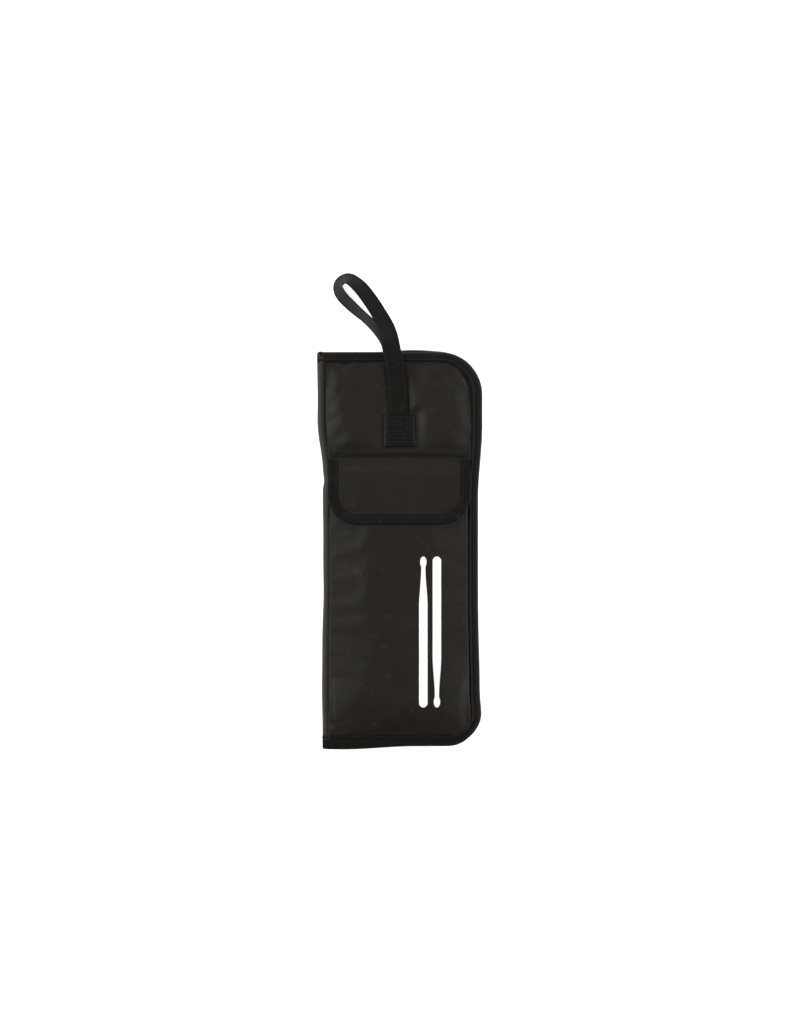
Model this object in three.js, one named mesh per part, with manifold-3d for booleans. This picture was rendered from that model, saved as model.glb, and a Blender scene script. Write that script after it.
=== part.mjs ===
// A drum stick bag, lying closed on its back, in millimetres.
// The bag opens like a book about a spine panel along its left side. The other three sides close
// with a coil zipper. The back half carries the stick sleeve. The front half carries an accessory
// pocket under a bound flap, and a webbing patch that holds the hanging loop.
// +X points away from the spine, +Y towards the hanging loop, +Z up out of the front of the bag.
// The origin is on the resting plane, below the middle of the whole object.

import * as THREE from "three";
import { mergeVertices } from "three/addons/utils/BufferGeometryUtils.js";
import Module from "manifold-3d";

// ---------------------------------------------------------------- driving dimensions

const GAP = 0.3; // between pieces that are sewn or clipped together
const HALF_WIDTH = 92; // from the middle to the spine, and to the zipper
const TOP = 184; // the end where the sticks go in
const BOTTOM = -268.6; // the end under the accessory pocket
const TOP_CORNER = 48; // radii of the two corners away from the spine
const BOTTOM_CORNER = 38;
const ARC_STEPS = 8; // facets in a quarter turn
const FABRIC = 1; // coated outer fabric
const LINING = 0.6;
const FOAM = 2;

const SPINE_THICK = 1;
const SPINE_INNER = -HALF_WIDTH + SPINE_THICK; // the spine panel's inner face
const PANEL_LEFT = SPINE_INNER + 0.6; // the panels stop short of the spine's fold
const BODY_THICK = 25.8; // back face to front face, without the pocket

const BACK_PANEL_INSET = 4.2;
const FRONT_PANEL_INSET = 11.5;
const BACK_PAD_INSET = 8;
const FRONT_PAD_INSET = 15;

const COIL_DEPTH = 2.4; // how far the coil reaches in from the outline
const BACK_COIL = [9.8, 12.4]; // height range of each coil row
const FRONT_COIL = [13.8, 16.4];
const ROW_START = -85; // where the two coil rows begin, beside the spine
const TAPE_START = -89.4;
const PIPING_RADIUS = 1.2;

const SLEEVE = { left: -79, right: 76, bottom: -252, mouth: 62, top: 20.6, wall: 0.8 };
const BINDING_WALL = 0.4;

const POCKET = { left: -84.5, right: 79, bottom: -256.5, mouth: 36, top: 33 };
const POCKET_CORNER = 22;
const FLAP = { left: -83, right: 81, seam: 61.8, bottom: -14.6, corner: 34, thick: 0.8 };
const FLAP_LOW = 27; // underside of the flap at its seam
const FLAP_HIGH = 35.5; // underside of the flap over the pocket
const FLAP_RAMP_END = 40; // the flap is level below this line
const FLAP_BINDING = 12;
const GRIP = { halfLength: 55, low: 4, high: 24, thick: 0.8 }; // hook-and-loop strips

const PATCH = { width: 37, low: 74, high: 110, thick: 3 };
const WEBBING_WIDTH = 20.4;
const WEBBING_THICK = 1.4;

const SLIDER_X = -76;
const SLIDER_LENGTH = 12;
const PLATE = 1.2;
const PIN_INSET = -2.8; // the pull's pin, outside the outline
const PULL = { length: 26, width: 4.2, thick: 1, barrel: 1, bore: 0.7, pin: 0.4 };

// ---------------------------------------------------------------- solids and booleans

const wasm = await Module();
wasm.setup();

// A geometry as a manifold-3d solid.
function solid(geometry) {
  const bare = new THREE.BufferGeometry();
  bare.setAttribute("position", geometry.getAttribute("position").clone());
  if (geometry.index) bare.setIndex(geometry.index.clone());
  const merged = mergeVertices(bare, 1e-4);
  const mesh = new wasm.Mesh({
    numProp: 3,
    vertProperties: merged.attributes.position.array,
    triVerts: new Uint32Array(merged.index.array),
  });
  return new wasm.Manifold(mesh);
}

// A manifold-3d solid as a geometry.
function geometryOf(made) {
  const { numProp, vertProperties, triVerts } = made.getMesh();
  const geometry = new THREE.BufferGeometry();
  const buffer = new THREE.InterleavedBuffer(vertProperties, numProp);
  geometry.setAttribute("position", new THREE.InterleavedBufferAttribute(buffer, 3, 0));
  geometry.setIndex(new THREE.BufferAttribute(triVerts, 1));
  const flat = geometry.toNonIndexed();
  flat.computeVertexNormals();
  return flat;
}

const cut = (body, ...tools) =>
  geometryOf(tools.reduce((left, tool) => left.subtract(solid(tool)), solid(body)));
const join = (body, ...others) =>
  geometryOf(others.reduce((sum, other) => sum.add(solid(other)), solid(body)));
const common = (a, b) => geometryOf(solid(a).intersect(solid(b)));

// A box between two corners.
function box([x0, x1], [y0, y1], [z0, z1]) {
  const geometry = new THREE.BoxGeometry(x1 - x0, y1 - y0, z1 - z0);
  return geometry.translate((x0 + x1) / 2, (y0 + y1) / 2, (z0 + z1) / 2);
}

// A rectangle with its own radius at each corner.
function roundedShape([x0, x1], [y0, y1], { tl = 0, tr = 0, br = 0, bl = 0 }) {
  const shape = new THREE.Shape();
  shape.moveTo(x0 + bl, y0);
  shape.lineTo(x1 - br, y0);
  if (br) shape.absarc(x1 - br, y0 + br, br, -Math.PI / 2, 0, false);
  shape.lineTo(x1, y1 - tr);
  if (tr) shape.absarc(x1 - tr, y1 - tr, tr, 0, Math.PI / 2, false);
  shape.lineTo(x0 + tl, y1);
  if (tl) shape.absarc(x0 + tl, y1 - tl, tl, Math.PI / 2, Math.PI, false);
  shape.lineTo(x0, y0 + bl);
  if (bl) shape.absarc(x0 + bl, y0 + bl, bl, Math.PI, 1.5 * Math.PI, false);
  return shape;
}

// A flat plate of an outline, between two heights.
function plate(shape, [z0, z1]) {
  const depth = z1 - z0;
  const geometry = new THREE.ExtrudeGeometry(shape, { depth, bevelEnabled: false, curveSegments: ARC_STEPS });
  return geometry.translate(0, 0, z0);
}

// The bag's outline, drawn in from its three open sides by inset, and straight along the spine.
function bodyShape(inset, left) {
  return roundedShape([left, HALF_WIDTH - inset], [BOTTOM + inset, TOP - inset], {
    tr: TOP_CORNER - inset,
    br: BOTTOM_CORNER - inset,
  });
}

// ---------------------------------------------------------------- strips round the three open sides

// Places along the outline, from the spine's top end round to its bottom end, each with the
// direction that points out of the bag.
function openSides(start) {
  const places = [{ at: new THREE.Vector2(start, TOP), out: new THREE.Vector2(0, 1) }];
  const corners = [
    { radius: TOP_CORNER, y: TOP - TOP_CORNER, from: Math.PI / 2 },
    { radius: BOTTOM_CORNER, y: BOTTOM + BOTTOM_CORNER, from: 0 },
  ];
  for (const { radius, y, from } of corners) {
    const centre = new THREE.Vector2(HALF_WIDTH - radius, y);
    for (let i = 0; i <= ARC_STEPS; i++) {
      const turn = from - (i / ARC_STEPS) * (Math.PI / 2);
      const out = new THREE.Vector2(Math.cos(turn), Math.sin(turn));
      places.push({ at: centre.clone().addScaledVector(out, radius), out });
    }
  }
  places.push({ at: new THREE.Vector2(start, BOTTOM), out: new THREE.Vector2(0, -1) });
  return places;
}

// A closed solid from rings of points: each ring is one section of the strip.
function skin(rings, caps) {
  const points = rings.flat();
  const size = rings[0].length;
  const index = [];
  for (let i = 0; i + 1 < rings.length; i++) {
    for (let j = 0; j < size; j++) {
      const a = i * size + j;
      const b = i * size + ((j + 1) % size);
      index.push(a, b, b + size, a, b + size, a + size);
    }
  }
  const last = (rings.length - 1) * size;
  for (const [a, b, c] of caps) {
    index.push(a, c, b);
    index.push(last + a, last + b, last + c);
  }
  const geometry = new THREE.BufferGeometry().setFromPoints(points);
  geometry.setIndex(index);
  const flat = geometry.toNonIndexed();
  flat.computeVertexNormals();
  return flat;
}

// A strip round the open sides. Its section is a list of [inset, height] points.
function edgeStrip(section, start) {
  let profile = section.map(([inset, z]) => new THREE.Vector2(-inset, z));
  if (THREE.ShapeUtils.isClockWise(profile)) profile = profile.reverse();
  const caps = THREE.ShapeUtils.triangulateShape(profile, []);
  const rings = openSides(start).map(({ at, out }) =>
    profile.map((p) => new THREE.Vector3(at.x + out.x * p.x, at.y + out.y * p.x, p.y)),
  );
  return skin(rings, caps);
}

// A round section of eight sides.
function roundSection(inset, height, radius) {
  return Array.from({ length: 8 }, (_, i) => {
    const turn = ((i + 0.5) / 8) * 2 * Math.PI;
    const reach = radius / Math.cos(Math.PI / 8);
    return [inset + reach * Math.cos(turn), height + reach * Math.sin(turn)];
  });
}

const rectangle = ([inset0, inset1], [z0, z1]) => [
  [inset0, z0],
  [inset1, z0],
  [inset1, z1],
  [inset0, z1],
];

// ---------------------------------------------------------------- the assembly

const bag = new THREE.Group();

function add(name, geometry, color, roughness, metalness = 0) {
  const material = new THREE.MeshStandardMaterial({ color, roughness, metalness });
  const mesh = new THREE.Mesh(geometry, material);
  mesh.name = name;
  bag.add(mesh);
}

const SHELL_BLACK = 0x24211f;
const TRIM_BLACK = 0x1c1c19;
const LINING_GREY = 0x303030;
const FOAM_GREY = 0x55534f;
const NICKEL = 0x8e8c88;

// ---- back half: outer fabric, foam and lining, stacked from the resting plane up

const backPanel = [0, FABRIC];
const backFoam = [FABRIC + GAP, FABRIC + GAP + FOAM];
const backLining = [backFoam[1] + GAP, backFoam[1] + GAP + LINING];
add("back_outer_panel", plate(bodyShape(BACK_PANEL_INSET, PANEL_LEFT), backPanel), SHELL_BLACK, 0.6);
add("back_foam_pad", plate(bodyShape(BACK_PAD_INSET, PANEL_LEFT + 2), backFoam), FOAM_GREY, 0.9);
add("back_lining", plate(bodyShape(BACK_PAD_INSET, PANEL_LEFT + 2), backLining), LINING_GREY, 0.7);

// the tape leans in from the coil down to the panel's edge
const backTape = [
  [0.8, BACK_COIL[0] - GAP],
  [1.6, BACK_COIL[0] - GAP],
  [BACK_PANEL_INSET + 1.2, FABRIC + GAP],
  [BACK_PANEL_INSET + 0.4, FABRIC + GAP],
];
const backPiping = roundSection(2.7, PIPING_RADIUS, PIPING_RADIUS);
const backSeamTape = rectangle([5.9, BACK_PAD_INSET - 0.4], [FABRIC + 0.5, backLining[1]]);
add("back_zipper_tape", edgeStrip(backTape, TAPE_START), TRIM_BLACK, 0.8);
add("back_zipper_coil", edgeStrip(rectangle([0, COIL_DEPTH], BACK_COIL), ROW_START), TRIM_BLACK, 0.5);
add("back_piping", edgeStrip(backPiping, TAPE_START), TRIM_BLACK, 0.6);
add("back_seam_binding", edgeStrip(backSeamTape, TAPE_START + 2), TRIM_BLACK, 0.8);

// ---- stick sleeve: a gusseted fabric sheet on the lining, in two compartments, open towards +Y

const sleeveFloor = backLining[1] + GAP;
const sleeveSheet = [SLEEVE.top - SLEEVE.wall, SLEEVE.top];
const sleeveMiddle = (SLEEVE.left + SLEEVE.right) / 2;
const sleeveRooms = [
  [SLEEVE.left + SLEEVE.wall, sleeveMiddle - SLEEVE.wall / 2],
  [sleeveMiddle + SLEEVE.wall / 2, SLEEVE.right - SLEEVE.wall],
].map((side) => box(side, [SLEEVE.bottom + SLEEVE.wall, SLEEVE.mouth + 1], [sleeveFloor - 1, sleeveSheet[0]]));
const sleeveBlock = box([SLEEVE.left, SLEEVE.right], [SLEEVE.bottom, SLEEVE.mouth], [sleeveFloor, SLEEVE.top]);
add("stick_sleeve", cut(sleeveBlock, ...sleeveRooms), LINING_GREY, 0.7);

// A folded tape round the free edge of a sheet, along X. The sheet ends at edge, facing +Y.
function mouthBinding([x0, x1], edge, depth, [low, high]) {
  const groove = [low - GAP, high + GAP];
  const outside = [groove[0] - BINDING_WALL, groove[1] + BINDING_WALL];
  const tape = box([x0, x1], [edge - depth, edge + GAP + BINDING_WALL], outside);
  return cut(tape, box([x0 - 1, x1 + 1], [edge - depth - 1, edge + GAP], groove));
}
const bindingEnds = (left, right, wall) => [left + wall + GAP, right - wall - GAP];
const sleeveWeb = box(
  [sleeveMiddle - SLEEVE.wall / 2 - GAP, sleeveMiddle + SLEEVE.wall / 2 + GAP],
  [SLEEVE.mouth - 20, SLEEVE.mouth + GAP],
  [sleeveFloor, sleeveSheet[0] + 0.1],
);
const sleeveTape = mouthBinding(bindingEnds(SLEEVE.left, SLEEVE.right, SLEEVE.wall), SLEEVE.mouth, 10, sleeveSheet);
add("sleeve_mouth_binding", cut(sleeveTape, sleeveWeb), TRIM_BLACK, 0.8);

// ---- spine: one strip of outer fabric that folds at both edges, with a tab over each zipper end

add("spine_panel", box([-HALF_WIDTH, SPINE_INNER], [BOTTOM + 1, TOP - 1], [0, BODY_THICK]), SHELL_BLACK, 0.6);
const tabX = [SPINE_INNER + GAP, ROW_START - 1.2];
const tabZ = [BACK_COIL[0] + 0.2, FRONT_COIL[1] - 0.2];
add("zip_end_tab_top", box(tabX, [TOP - COIL_DEPTH, TOP + 0.4], tabZ), TRIM_BLACK, 0.8);
add("zip_end_tab_bottom", box(tabX, [BOTTOM - 0.4, BOTTOM + COIL_DEPTH], tabZ), TRIM_BLACK, 0.8);

// ---- front half: the same layers the other way up

const frontPanel = [BODY_THICK - FABRIC, BODY_THICK];
const frontFoam = [frontPanel[0] - GAP - FOAM, frontPanel[0] - GAP];
const frontLining = [frontFoam[0] - GAP - LINING, frontFoam[0] - GAP];
add("front_outer_panel", plate(bodyShape(FRONT_PANEL_INSET, PANEL_LEFT), frontPanel), SHELL_BLACK, 0.6);
add("front_foam_pad", plate(bodyShape(FRONT_PAD_INSET, PANEL_LEFT + 2), frontFoam), FOAM_GREY, 0.9);
add("front_lining", plate(bodyShape(FRONT_PAD_INSET, PANEL_LEFT + 2), frontLining), LINING_GREY, 0.7);

const frontTape = [
  [0.8, FRONT_COIL[1] + GAP],
  [1.6, FRONT_COIL[1] + GAP],
  [FRONT_PANEL_INSET + 1, frontPanel[0] - GAP],
  [FRONT_PANEL_INSET - 0.1, frontPanel[0] - GAP],
];
const frontPiping = roundSection(FRONT_PANEL_INSET - 1.6, frontPanel[0] + 0.3, PIPING_RADIUS);
const frontSeamTape = rectangle([13, FRONT_PAD_INSET - 0.4], [frontLining[0], frontPanel[0] - 0.4]);
add("front_zipper_tape", edgeStrip(frontTape, TAPE_START), TRIM_BLACK, 0.8);
add("front_zipper_coil", edgeStrip(rectangle([0, COIL_DEPTH], FRONT_COIL), ROW_START), TRIM_BLACK, 0.5);
add("front_piping", edgeStrip(frontPiping, TAPE_START), TRIM_BLACK, 0.6);
add("front_seam_binding", edgeStrip(frontSeamTape, TAPE_START + 2), TRIM_BLACK, 0.8);

// ---- accessory pocket: a panel with gussets on three sides, open towards +Y under the flap

const pocketFloor = BODY_THICK + GAP;
const pocketOutside = roundedShape([POCKET.left, POCKET.right], [POCKET.bottom, POCKET.mouth], {
  br: POCKET_CORNER,
});
const pocketInside = roundedShape(
  [POCKET.left + FABRIC, POCKET.right - FABRIC],
  [POCKET.bottom + FABRIC, POCKET.mouth + 5],
  { br: POCKET_CORNER - FABRIC },
);
const pocketBlock = plate(pocketOutside, [pocketFloor, POCKET.top]);
const pocketRoom = plate(pocketInside, [pocketFloor - 1, POCKET.top - FABRIC]);
add("accessory_pocket", cut(pocketBlock, pocketRoom), SHELL_BLACK, 0.6);
const pocketTape = mouthBinding(
  bindingEnds(POCKET.left, POCKET.right, FABRIC),
  POCKET.mouth,
  8,
  [POCKET.top - FABRIC, POCKET.top],
);
add("pocket_mouth_binding", pocketTape, TRIM_BLACK, 0.8);
const loopStrip = [POCKET.top + GAP, POCKET.top + GAP + GRIP.thick];
const hookStrip = [FLAP_HIGH - GAP - GRIP.thick, FLAP_HIGH - GAP];
const gripX = [-GRIP.halfLength, GRIP.halfLength];
add("pocket_loop_strip", box(gripX, [GRIP.low, GRIP.high], loopStrip), TRIM_BLACK, 0.95);

// ---- flap: a sheet that slopes up from its seam and lies level over the pocket, bound on three sides

// The flap's section across X, as a band between two heights above its underside. It runs past
// both ends of the flap.
function flapBand(low, high) {
  const steps = 6;
  const rise = [[FLAP.seam + 5, FLAP_LOW]];
  for (let i = 0; i <= steps; i++) {
    const share = i / steps;
    const height = FLAP_LOW + (FLAP_HIGH - FLAP_LOW) * (0.5 - 0.5 * Math.cos(Math.PI * share));
    rise.push([FLAP.seam + (FLAP_RAMP_END - FLAP.seam) * share, height]);
  }
  rise.push([FLAP.bottom - 5, FLAP_HIGH]);
  const lower = rise.map(([y, z]) => new THREE.Vector2(y, z + low));
  const upper = rise.map(([y, z]) => new THREE.Vector2(y, z + high)).reverse();
  const depth = FLAP.right - FLAP.left + 40;
  const geometry = new THREE.ExtrudeGeometry(new THREE.Shape([...lower, ...upper]), {
    depth,
    bevelEnabled: false,
  });
  geometry.rotateX(Math.PI / 2).rotateZ(Math.PI / 2);
  return geometry.translate(FLAP.left - 20, 0, 0);
}
// An upright prism of the flap's outline, drawn in by inset, up to a line across the seam.
function flapPrism(inset, topY) {
  const corner = FLAP.corner - inset;
  const shape = roundedShape([FLAP.left + inset, FLAP.right - inset], [FLAP.bottom + inset, topY], {
    br: corner,
    bl: corner,
  });
  return plate(shape, [FLAP_LOW - 10, FLAP_HIGH + 10]);
}
const TAPE_BITE = BINDING_WALL + GAP; // how far the binding stands round the flap's edge
const flapSheet = common(flapBand(0, FLAP.thick), flapPrism(TAPE_BITE, FLAP.seam));
add("pocket_flap", flapSheet, SHELL_BLACK, 0.6);
const bindingBand = common(flapBand(-TAPE_BITE, FLAP.thick + TAPE_BITE), flapPrism(0, FLAP.seam - 0.4));
const groove = common(flapBand(-GAP, FLAP.thick + GAP), flapPrism(BINDING_WALL, FLAP.seam + 2));
add("flap_binding", cut(bindingBand, flapPrism(FLAP_BINDING, FLAP.seam + 2), groove), TRIM_BLACK, 0.8);
add("flap_hook_strip", box(gripX, [GRIP.low, GRIP.high], hookStrip), TRIM_BLACK, 0.95);
const seamStrip = box([FLAP.left, FLAP.right - 2], [FLAP.seam + 2, FLAP.seam + 6], [pocketFloor, pocketFloor + 1.4]);
add("flap_seam_strip", seamStrip, TRIM_BLACK, 0.8);

// ---- hanging loop: flat webbing, both ends held in a patch of wider webbing sewn to the front

const patchX = [-PATCH.width / 2 - 0.5, PATCH.width / 2 - 0.5];
const patchZ = [pocketFloor, pocketFloor + PATCH.thick];
add("strap_anchor_patch", box(patchX, [PATCH.low, PATCH.high], patchZ), TRIM_BLACK, 0.8);

// The webbing's middle line, with how far its outer edge leans down, in degrees. It leaves the
// patch, runs off the top of the bag, turns on edge, and comes back under itself.
const LOOP_ROUTE = [
  [-1.5, 112.5, 28.5, 0],
  [-1.9, 132, 28.8, 0],
  [-4.6, 158, 29.4, 0],
  [-8.8, 184, 30.8, 3],
  [-15, 208, 31.4, 12],
  [-25.5, 228.5, 28.5, 22],
  [-35, 243.5, 25.3, 26],
  [-46, 257, 21.5, 34],
  [-59.5, 265.4, 16.5, 50],
  [-68, 264.9, 13, 58],
  [-71, 258.5, 11.2, 60],
  [-67, 249, 10.6, 60],
  [-56, 237, 11.2, 61],
  [-41, 223.7, 13.6, 60],
  [-27.5, 211, 17.4, 48],
  [-16, 198, 22.4, 24],
  [-9.8, 185, 26.5, 6],
  [-6.6, 172, 27.8, 0],
  [-4.2, 158, 27.6, 0],
  [-1.9, 132, 27, 0],
  [-1.5, 112.5, 26.8, 0],
];

function webbing(route, steps) {
  const path = new THREE.CatmullRomCurve3(route.map(([x, y, z]) => new THREE.Vector3(x, y, z)));
  const leans = new THREE.CatmullRomCurve3(route.map(([, , , lean]) => new THREE.Vector3(lean, 0, 0)));
  const up = new THREE.Vector3(0, 0, 1);
  const w = WEBBING_WIDTH / 2;
  const t = WEBBING_THICK / 2;
  const rings = Array.from({ length: steps + 1 }, (_, i) => {
    const at = path.getPoint(i / steps);
    const along = path.getTangent(i / steps);
    const level = new THREE.Vector3().crossVectors(along, up).normalize();
    const over = new THREE.Vector3().crossVectors(level, along);
    const lean = THREE.MathUtils.degToRad(leans.getPoint(i / steps).x);
    const across = level.clone().multiplyScalar(Math.cos(lean)).addScaledVector(over, -Math.sin(lean));
    const face = new THREE.Vector3().crossVectors(across, along);
    const corners = [[-w, -t], [-w, t], [w, t], [w, -t]];
    return corners.map(([a, b]) => at.clone().addScaledVector(across, a).addScaledVector(face, b));
  });
  return skin(rings, [[0, 1, 2], [0, 2, 3]]);
}
add("hanging_loop", webbing(LOOP_ROUTE, 76), TRIM_BLACK, 0.8);

// ---- zipper slider: two plates joined by a web that runs between the coil rows, and its pull

const sliderX = [SLIDER_X - SLIDER_LENGTH / 2, SLIDER_X + SLIDER_LENGTH / 2];
const outerPlateY = [BOTTOM - GAP - PLATE, BOTTOM - GAP];
const innerPlateY = [BOTTOM + COIL_DEPTH + GAP, BOTTOM + COIL_DEPTH + GAP + 1];
const webZ = [BACK_COIL[1] + GAP, FRONT_COIL[0] - GAP];
const pinY = BOTTOM + PIN_INSET;
const middleZ = (webZ[0] + webZ[1]) / 2;
const lugX = [SLIDER_X - 1.4, SLIDER_X + 1.4];
const lugY = [pinY - 1.2, outerPlateY[0] + 0.2];
const lugInner = PULL.width / 2 + GAP;
const sliderParts = [
  box(sliderX, innerPlateY, [8.4, 16.6]),
  box(sliderX, [outerPlateY[0] + 0.2, innerPlateY[0] + 0.2], webZ),
  box(lugX, lugY, [middleZ - lugInner - 0.9, middleZ - lugInner]),
  box(lugX, lugY, [middleZ + lugInner, middleZ + lugInner + 0.9]),
];
const sideways = (geometry, x, y, z) => geometry.rotateX(Math.PI / 2).translate(x, y, z);
const pin = sideways(new THREE.CylinderGeometry(PULL.pin, PULL.pin, 2 * lugInner + 0.6, 12), SLIDER_X, pinY, middleZ);
const outerPlate = box(sliderX, outerPlateY, [7.6, 18.6]);
add("zipper_slider", join(outerPlate, ...sliderParts, pin), NICKEL, 0.35, 1);
const barrel = new THREE.CylinderGeometry(PULL.barrel, PULL.barrel, PULL.width, 16);
const bore = new THREE.CylinderGeometry(PULL.bore, PULL.bore, PULL.width + 2, 12);
const tongue = box(
  [SLIDER_X + PULL.barrel * 0.8, SLIDER_X + PULL.length],
  [pinY - PULL.thick / 2, pinY + PULL.thick / 2],
  [middleZ - PULL.width / 2, middleZ + PULL.width / 2],
);
const pullBody = join(sideways(barrel, SLIDER_X, pinY, middleZ), tongue);
add("slider_pull", cut(pullBody, sideways(bore, SLIDER_X, pinY, middleZ)), NICKEL, 0.35, 1);

export default bag;
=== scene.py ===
"""A drum stick bag that lies closed on its back, made round its frame.

Its outer fabric, foam, linings, bindings, webbing, zipper and thread are separate pieces.
"""

import math

import bmesh
import bpy
import numpy as np
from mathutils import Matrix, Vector
from mathutils.bvhtree import BVHTree


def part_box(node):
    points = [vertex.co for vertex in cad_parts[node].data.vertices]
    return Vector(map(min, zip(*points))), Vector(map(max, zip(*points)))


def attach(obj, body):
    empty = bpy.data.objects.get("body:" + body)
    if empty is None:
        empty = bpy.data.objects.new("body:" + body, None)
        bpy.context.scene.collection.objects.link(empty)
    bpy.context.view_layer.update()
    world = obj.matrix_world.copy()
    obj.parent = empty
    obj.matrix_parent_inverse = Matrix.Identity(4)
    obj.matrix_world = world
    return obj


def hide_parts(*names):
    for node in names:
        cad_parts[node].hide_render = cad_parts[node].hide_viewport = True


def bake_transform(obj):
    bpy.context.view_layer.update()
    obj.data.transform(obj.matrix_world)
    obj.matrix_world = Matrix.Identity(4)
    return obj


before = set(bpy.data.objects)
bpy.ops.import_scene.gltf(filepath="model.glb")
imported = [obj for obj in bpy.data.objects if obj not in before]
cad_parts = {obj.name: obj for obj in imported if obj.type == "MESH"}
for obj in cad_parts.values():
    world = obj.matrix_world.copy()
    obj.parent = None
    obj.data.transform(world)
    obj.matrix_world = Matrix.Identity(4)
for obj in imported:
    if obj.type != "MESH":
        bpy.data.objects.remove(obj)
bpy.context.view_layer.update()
MM = 0.001

# ---------------------------------------------------------------- camera, studio light and floor
# The bag is seen from straight above, with the hanging loop at the top. Two wide soft lights stand
# low on either side of a pale floor, and a weaker one behind the loop, so folds catch light at
# their flanks.

CAMERA_HEIGHT = 3.0
VIEW_HEIGHT = 1.176  # metres of floor along the view's long side
BAG_MIDDLE_Z = 0.026

camera_data = bpy.data.cameras.new("camera")
camera_data.lens = camera_data.sensor_width * (CAMERA_HEIGHT - BAG_MIDDLE_Z) / VIEW_HEIGHT
camera_data.clip_end = 50
camera = bpy.data.objects.new("camera", camera_data)
camera.location = (0, 0, CAMERA_HEIGHT)
bpy.context.scene.collection.objects.link(camera)
bpy.context.scene.camera = camera
bpy.context.scene.view_settings.view_transform = "Standard"

world = bpy.data.worlds.new("studio")
bpy.context.scene.world = world
world.use_nodes = True
world.node_tree.nodes["Background"].inputs["Color"].default_value = (1.0, 0.995, 0.985, 1)
world.node_tree.nodes["Background"].inputs["Strength"].default_value = 0.13


def soft_light(name, place, size, watts, colour):
    """A rectangular studio light that points at the middle of the bag."""
    data = bpy.data.lights.new(name, "AREA")
    data.shape = "RECTANGLE"
    data.size, data.size_y = size
    data.energy = watts
    data.color = colour
    light = bpy.data.objects.new(name, data)
    light.location = place
    light.rotation_mode = "QUATERNION"
    light.rotation_quaternion = (-Vector(place)).to_track_quat("-Z", "Y")
    bpy.context.scene.collection.objects.link(light)


soft_light("left_light", (-1.7, 0.25, 1.05), (0.7, 1.8), 45, (1.0, 0.98, 0.95))
soft_light("right_light", (1.75, -0.1, 1.15), (0.7, 1.8), 36, (1.0, 0.985, 0.96))
soft_light("far_light", (0.1, 2.0, 1.3), (2.0, 0.7), 15, (1.0, 0.99, 0.97))


class Value:
    """A number on its way through a shader: arithmetic on it adds Math nodes."""

    def __init__(self, tree, socket):
        self.tree = tree
        self.socket = socket

    def _math(self, operation, first, second):
        node = self.tree.nodes.new("ShaderNodeMath")
        node.operation = operation
        for socket, term in zip(node.inputs, (first, second)):
            if isinstance(term, Value):
                self.tree.links.new(term.socket, socket)
            else:
                socket.default_value = term
        return Value(self.tree, node.outputs[0])

    def __add__(self, other):
        return self._math("ADD", self, other)

    def __sub__(self, other):
        return self._math("SUBTRACT", self, other)

    def __rsub__(self, other):
        return self._math("SUBTRACT", other, self)

    def __mul__(self, other):
        return self._math("MULTIPLY", self, other)

    __radd__ = __add__
    __rmul__ = __mul__


class Finish:
    """One material under construction, with its Principled shader."""

    def __init__(self, name, **constants):
        self.material = bpy.data.materials.new(name)
        self.material.use_nodes = True
        self.tree = self.material.node_tree
        self.shader = self.tree.nodes["Principled BSDF"]
        for socket, value in constants.items():
            self.shader.inputs[socket.replace("_", " ")].default_value = value

    def node(self, kind, settings=None, sockets=None, output=0):
        """Adds a node, sets it up, feeds its sockets and returns one output as a Value."""
        made = self.tree.nodes.new("ShaderNode" + kind)
        for key, value in (settings or {}).items():
            setattr(made, key, value)
        for key, value in (sockets or {}).items():
            if isinstance(value, Value):
                self.tree.links.new(value.socket, made.inputs[key])
            else:
                made.inputs[key].default_value = value
        return Value(self.tree, made.outputs[output])

    def object_place(self):
        return self.node("TexCoord", output="Object")

    def surface_place(self):
        return self.node("UVMap", {"uv_map": "cloth"})

    def part(self, vector, axis):
        """One coordinate of a place, in millimetres."""
        return self.node("SeparateXYZ", sockets={0: vector}, output=axis) * 1000.0

    def wave(self, along, pitch):
        """A smooth ripple between 0 and 1, one per pitch in millimetres."""
        turned = self.node("Math", {"operation": "SINE"}, {0: along * (2 * math.pi / pitch)})
        return turned * 0.5 + 0.5

    def noise(self, vector, size, detail=2.0, roughness=0.5):
        """Soft noise between 0 and 1 whose patches are about size millimetres across."""
        sockets = {"Vector": vector, "Scale": 1000.0 / size, "Detail": detail, "Roughness": roughness}
        return self.node("TexNoise", None, sockets)

    def ramp(self, value, low, high):
        """0 below low, 1 above high, smooth between."""
        return self.node("MapRange", {"interpolation_type": "SMOOTHSTEP"}, {0: value, 1: low, 2: high})

    def mix(self, factor, first, second):
        """One colour over another."""
        made = self.tree.nodes.new("ShaderNodeMix")
        made.data_type = "RGBA"
        for key, value in {"Factor": factor, "A": first, "B": second}.items():
            kind = "VALUE" if key == "Factor" else "RGBA"
            socket = next(s for s in made.inputs if s.name == key and s.type == kind)
            if isinstance(value, Value):
                self.tree.links.new(value.socket, socket)
            else:
                socket.default_value = value
        return Value(self.tree, next(s for s in made.outputs if s.type == "RGBA"))

    def bump(self, height, distance, before=None):
        """A bump of the given depth in millimetres, over an earlier bump if there is one."""
        sockets = {"Height": height, "Distance": distance * MM, "Strength": 1.0}
        if before is not None:
            sockets["Normal"] = before
        return self.node("Bump", None, sockets)

    def feed(self, **links):
        for socket, value in links.items():
            self.tree.links.new(value.socket, self.shader.inputs[socket.replace("_", " ")])
        return self.material


def grey(value, warm=0.0):
    """A dark neutral colour in linear light, a little warm or cool."""
    return (value * (1 + warm), value, value * (1 - warm), 1)


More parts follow.
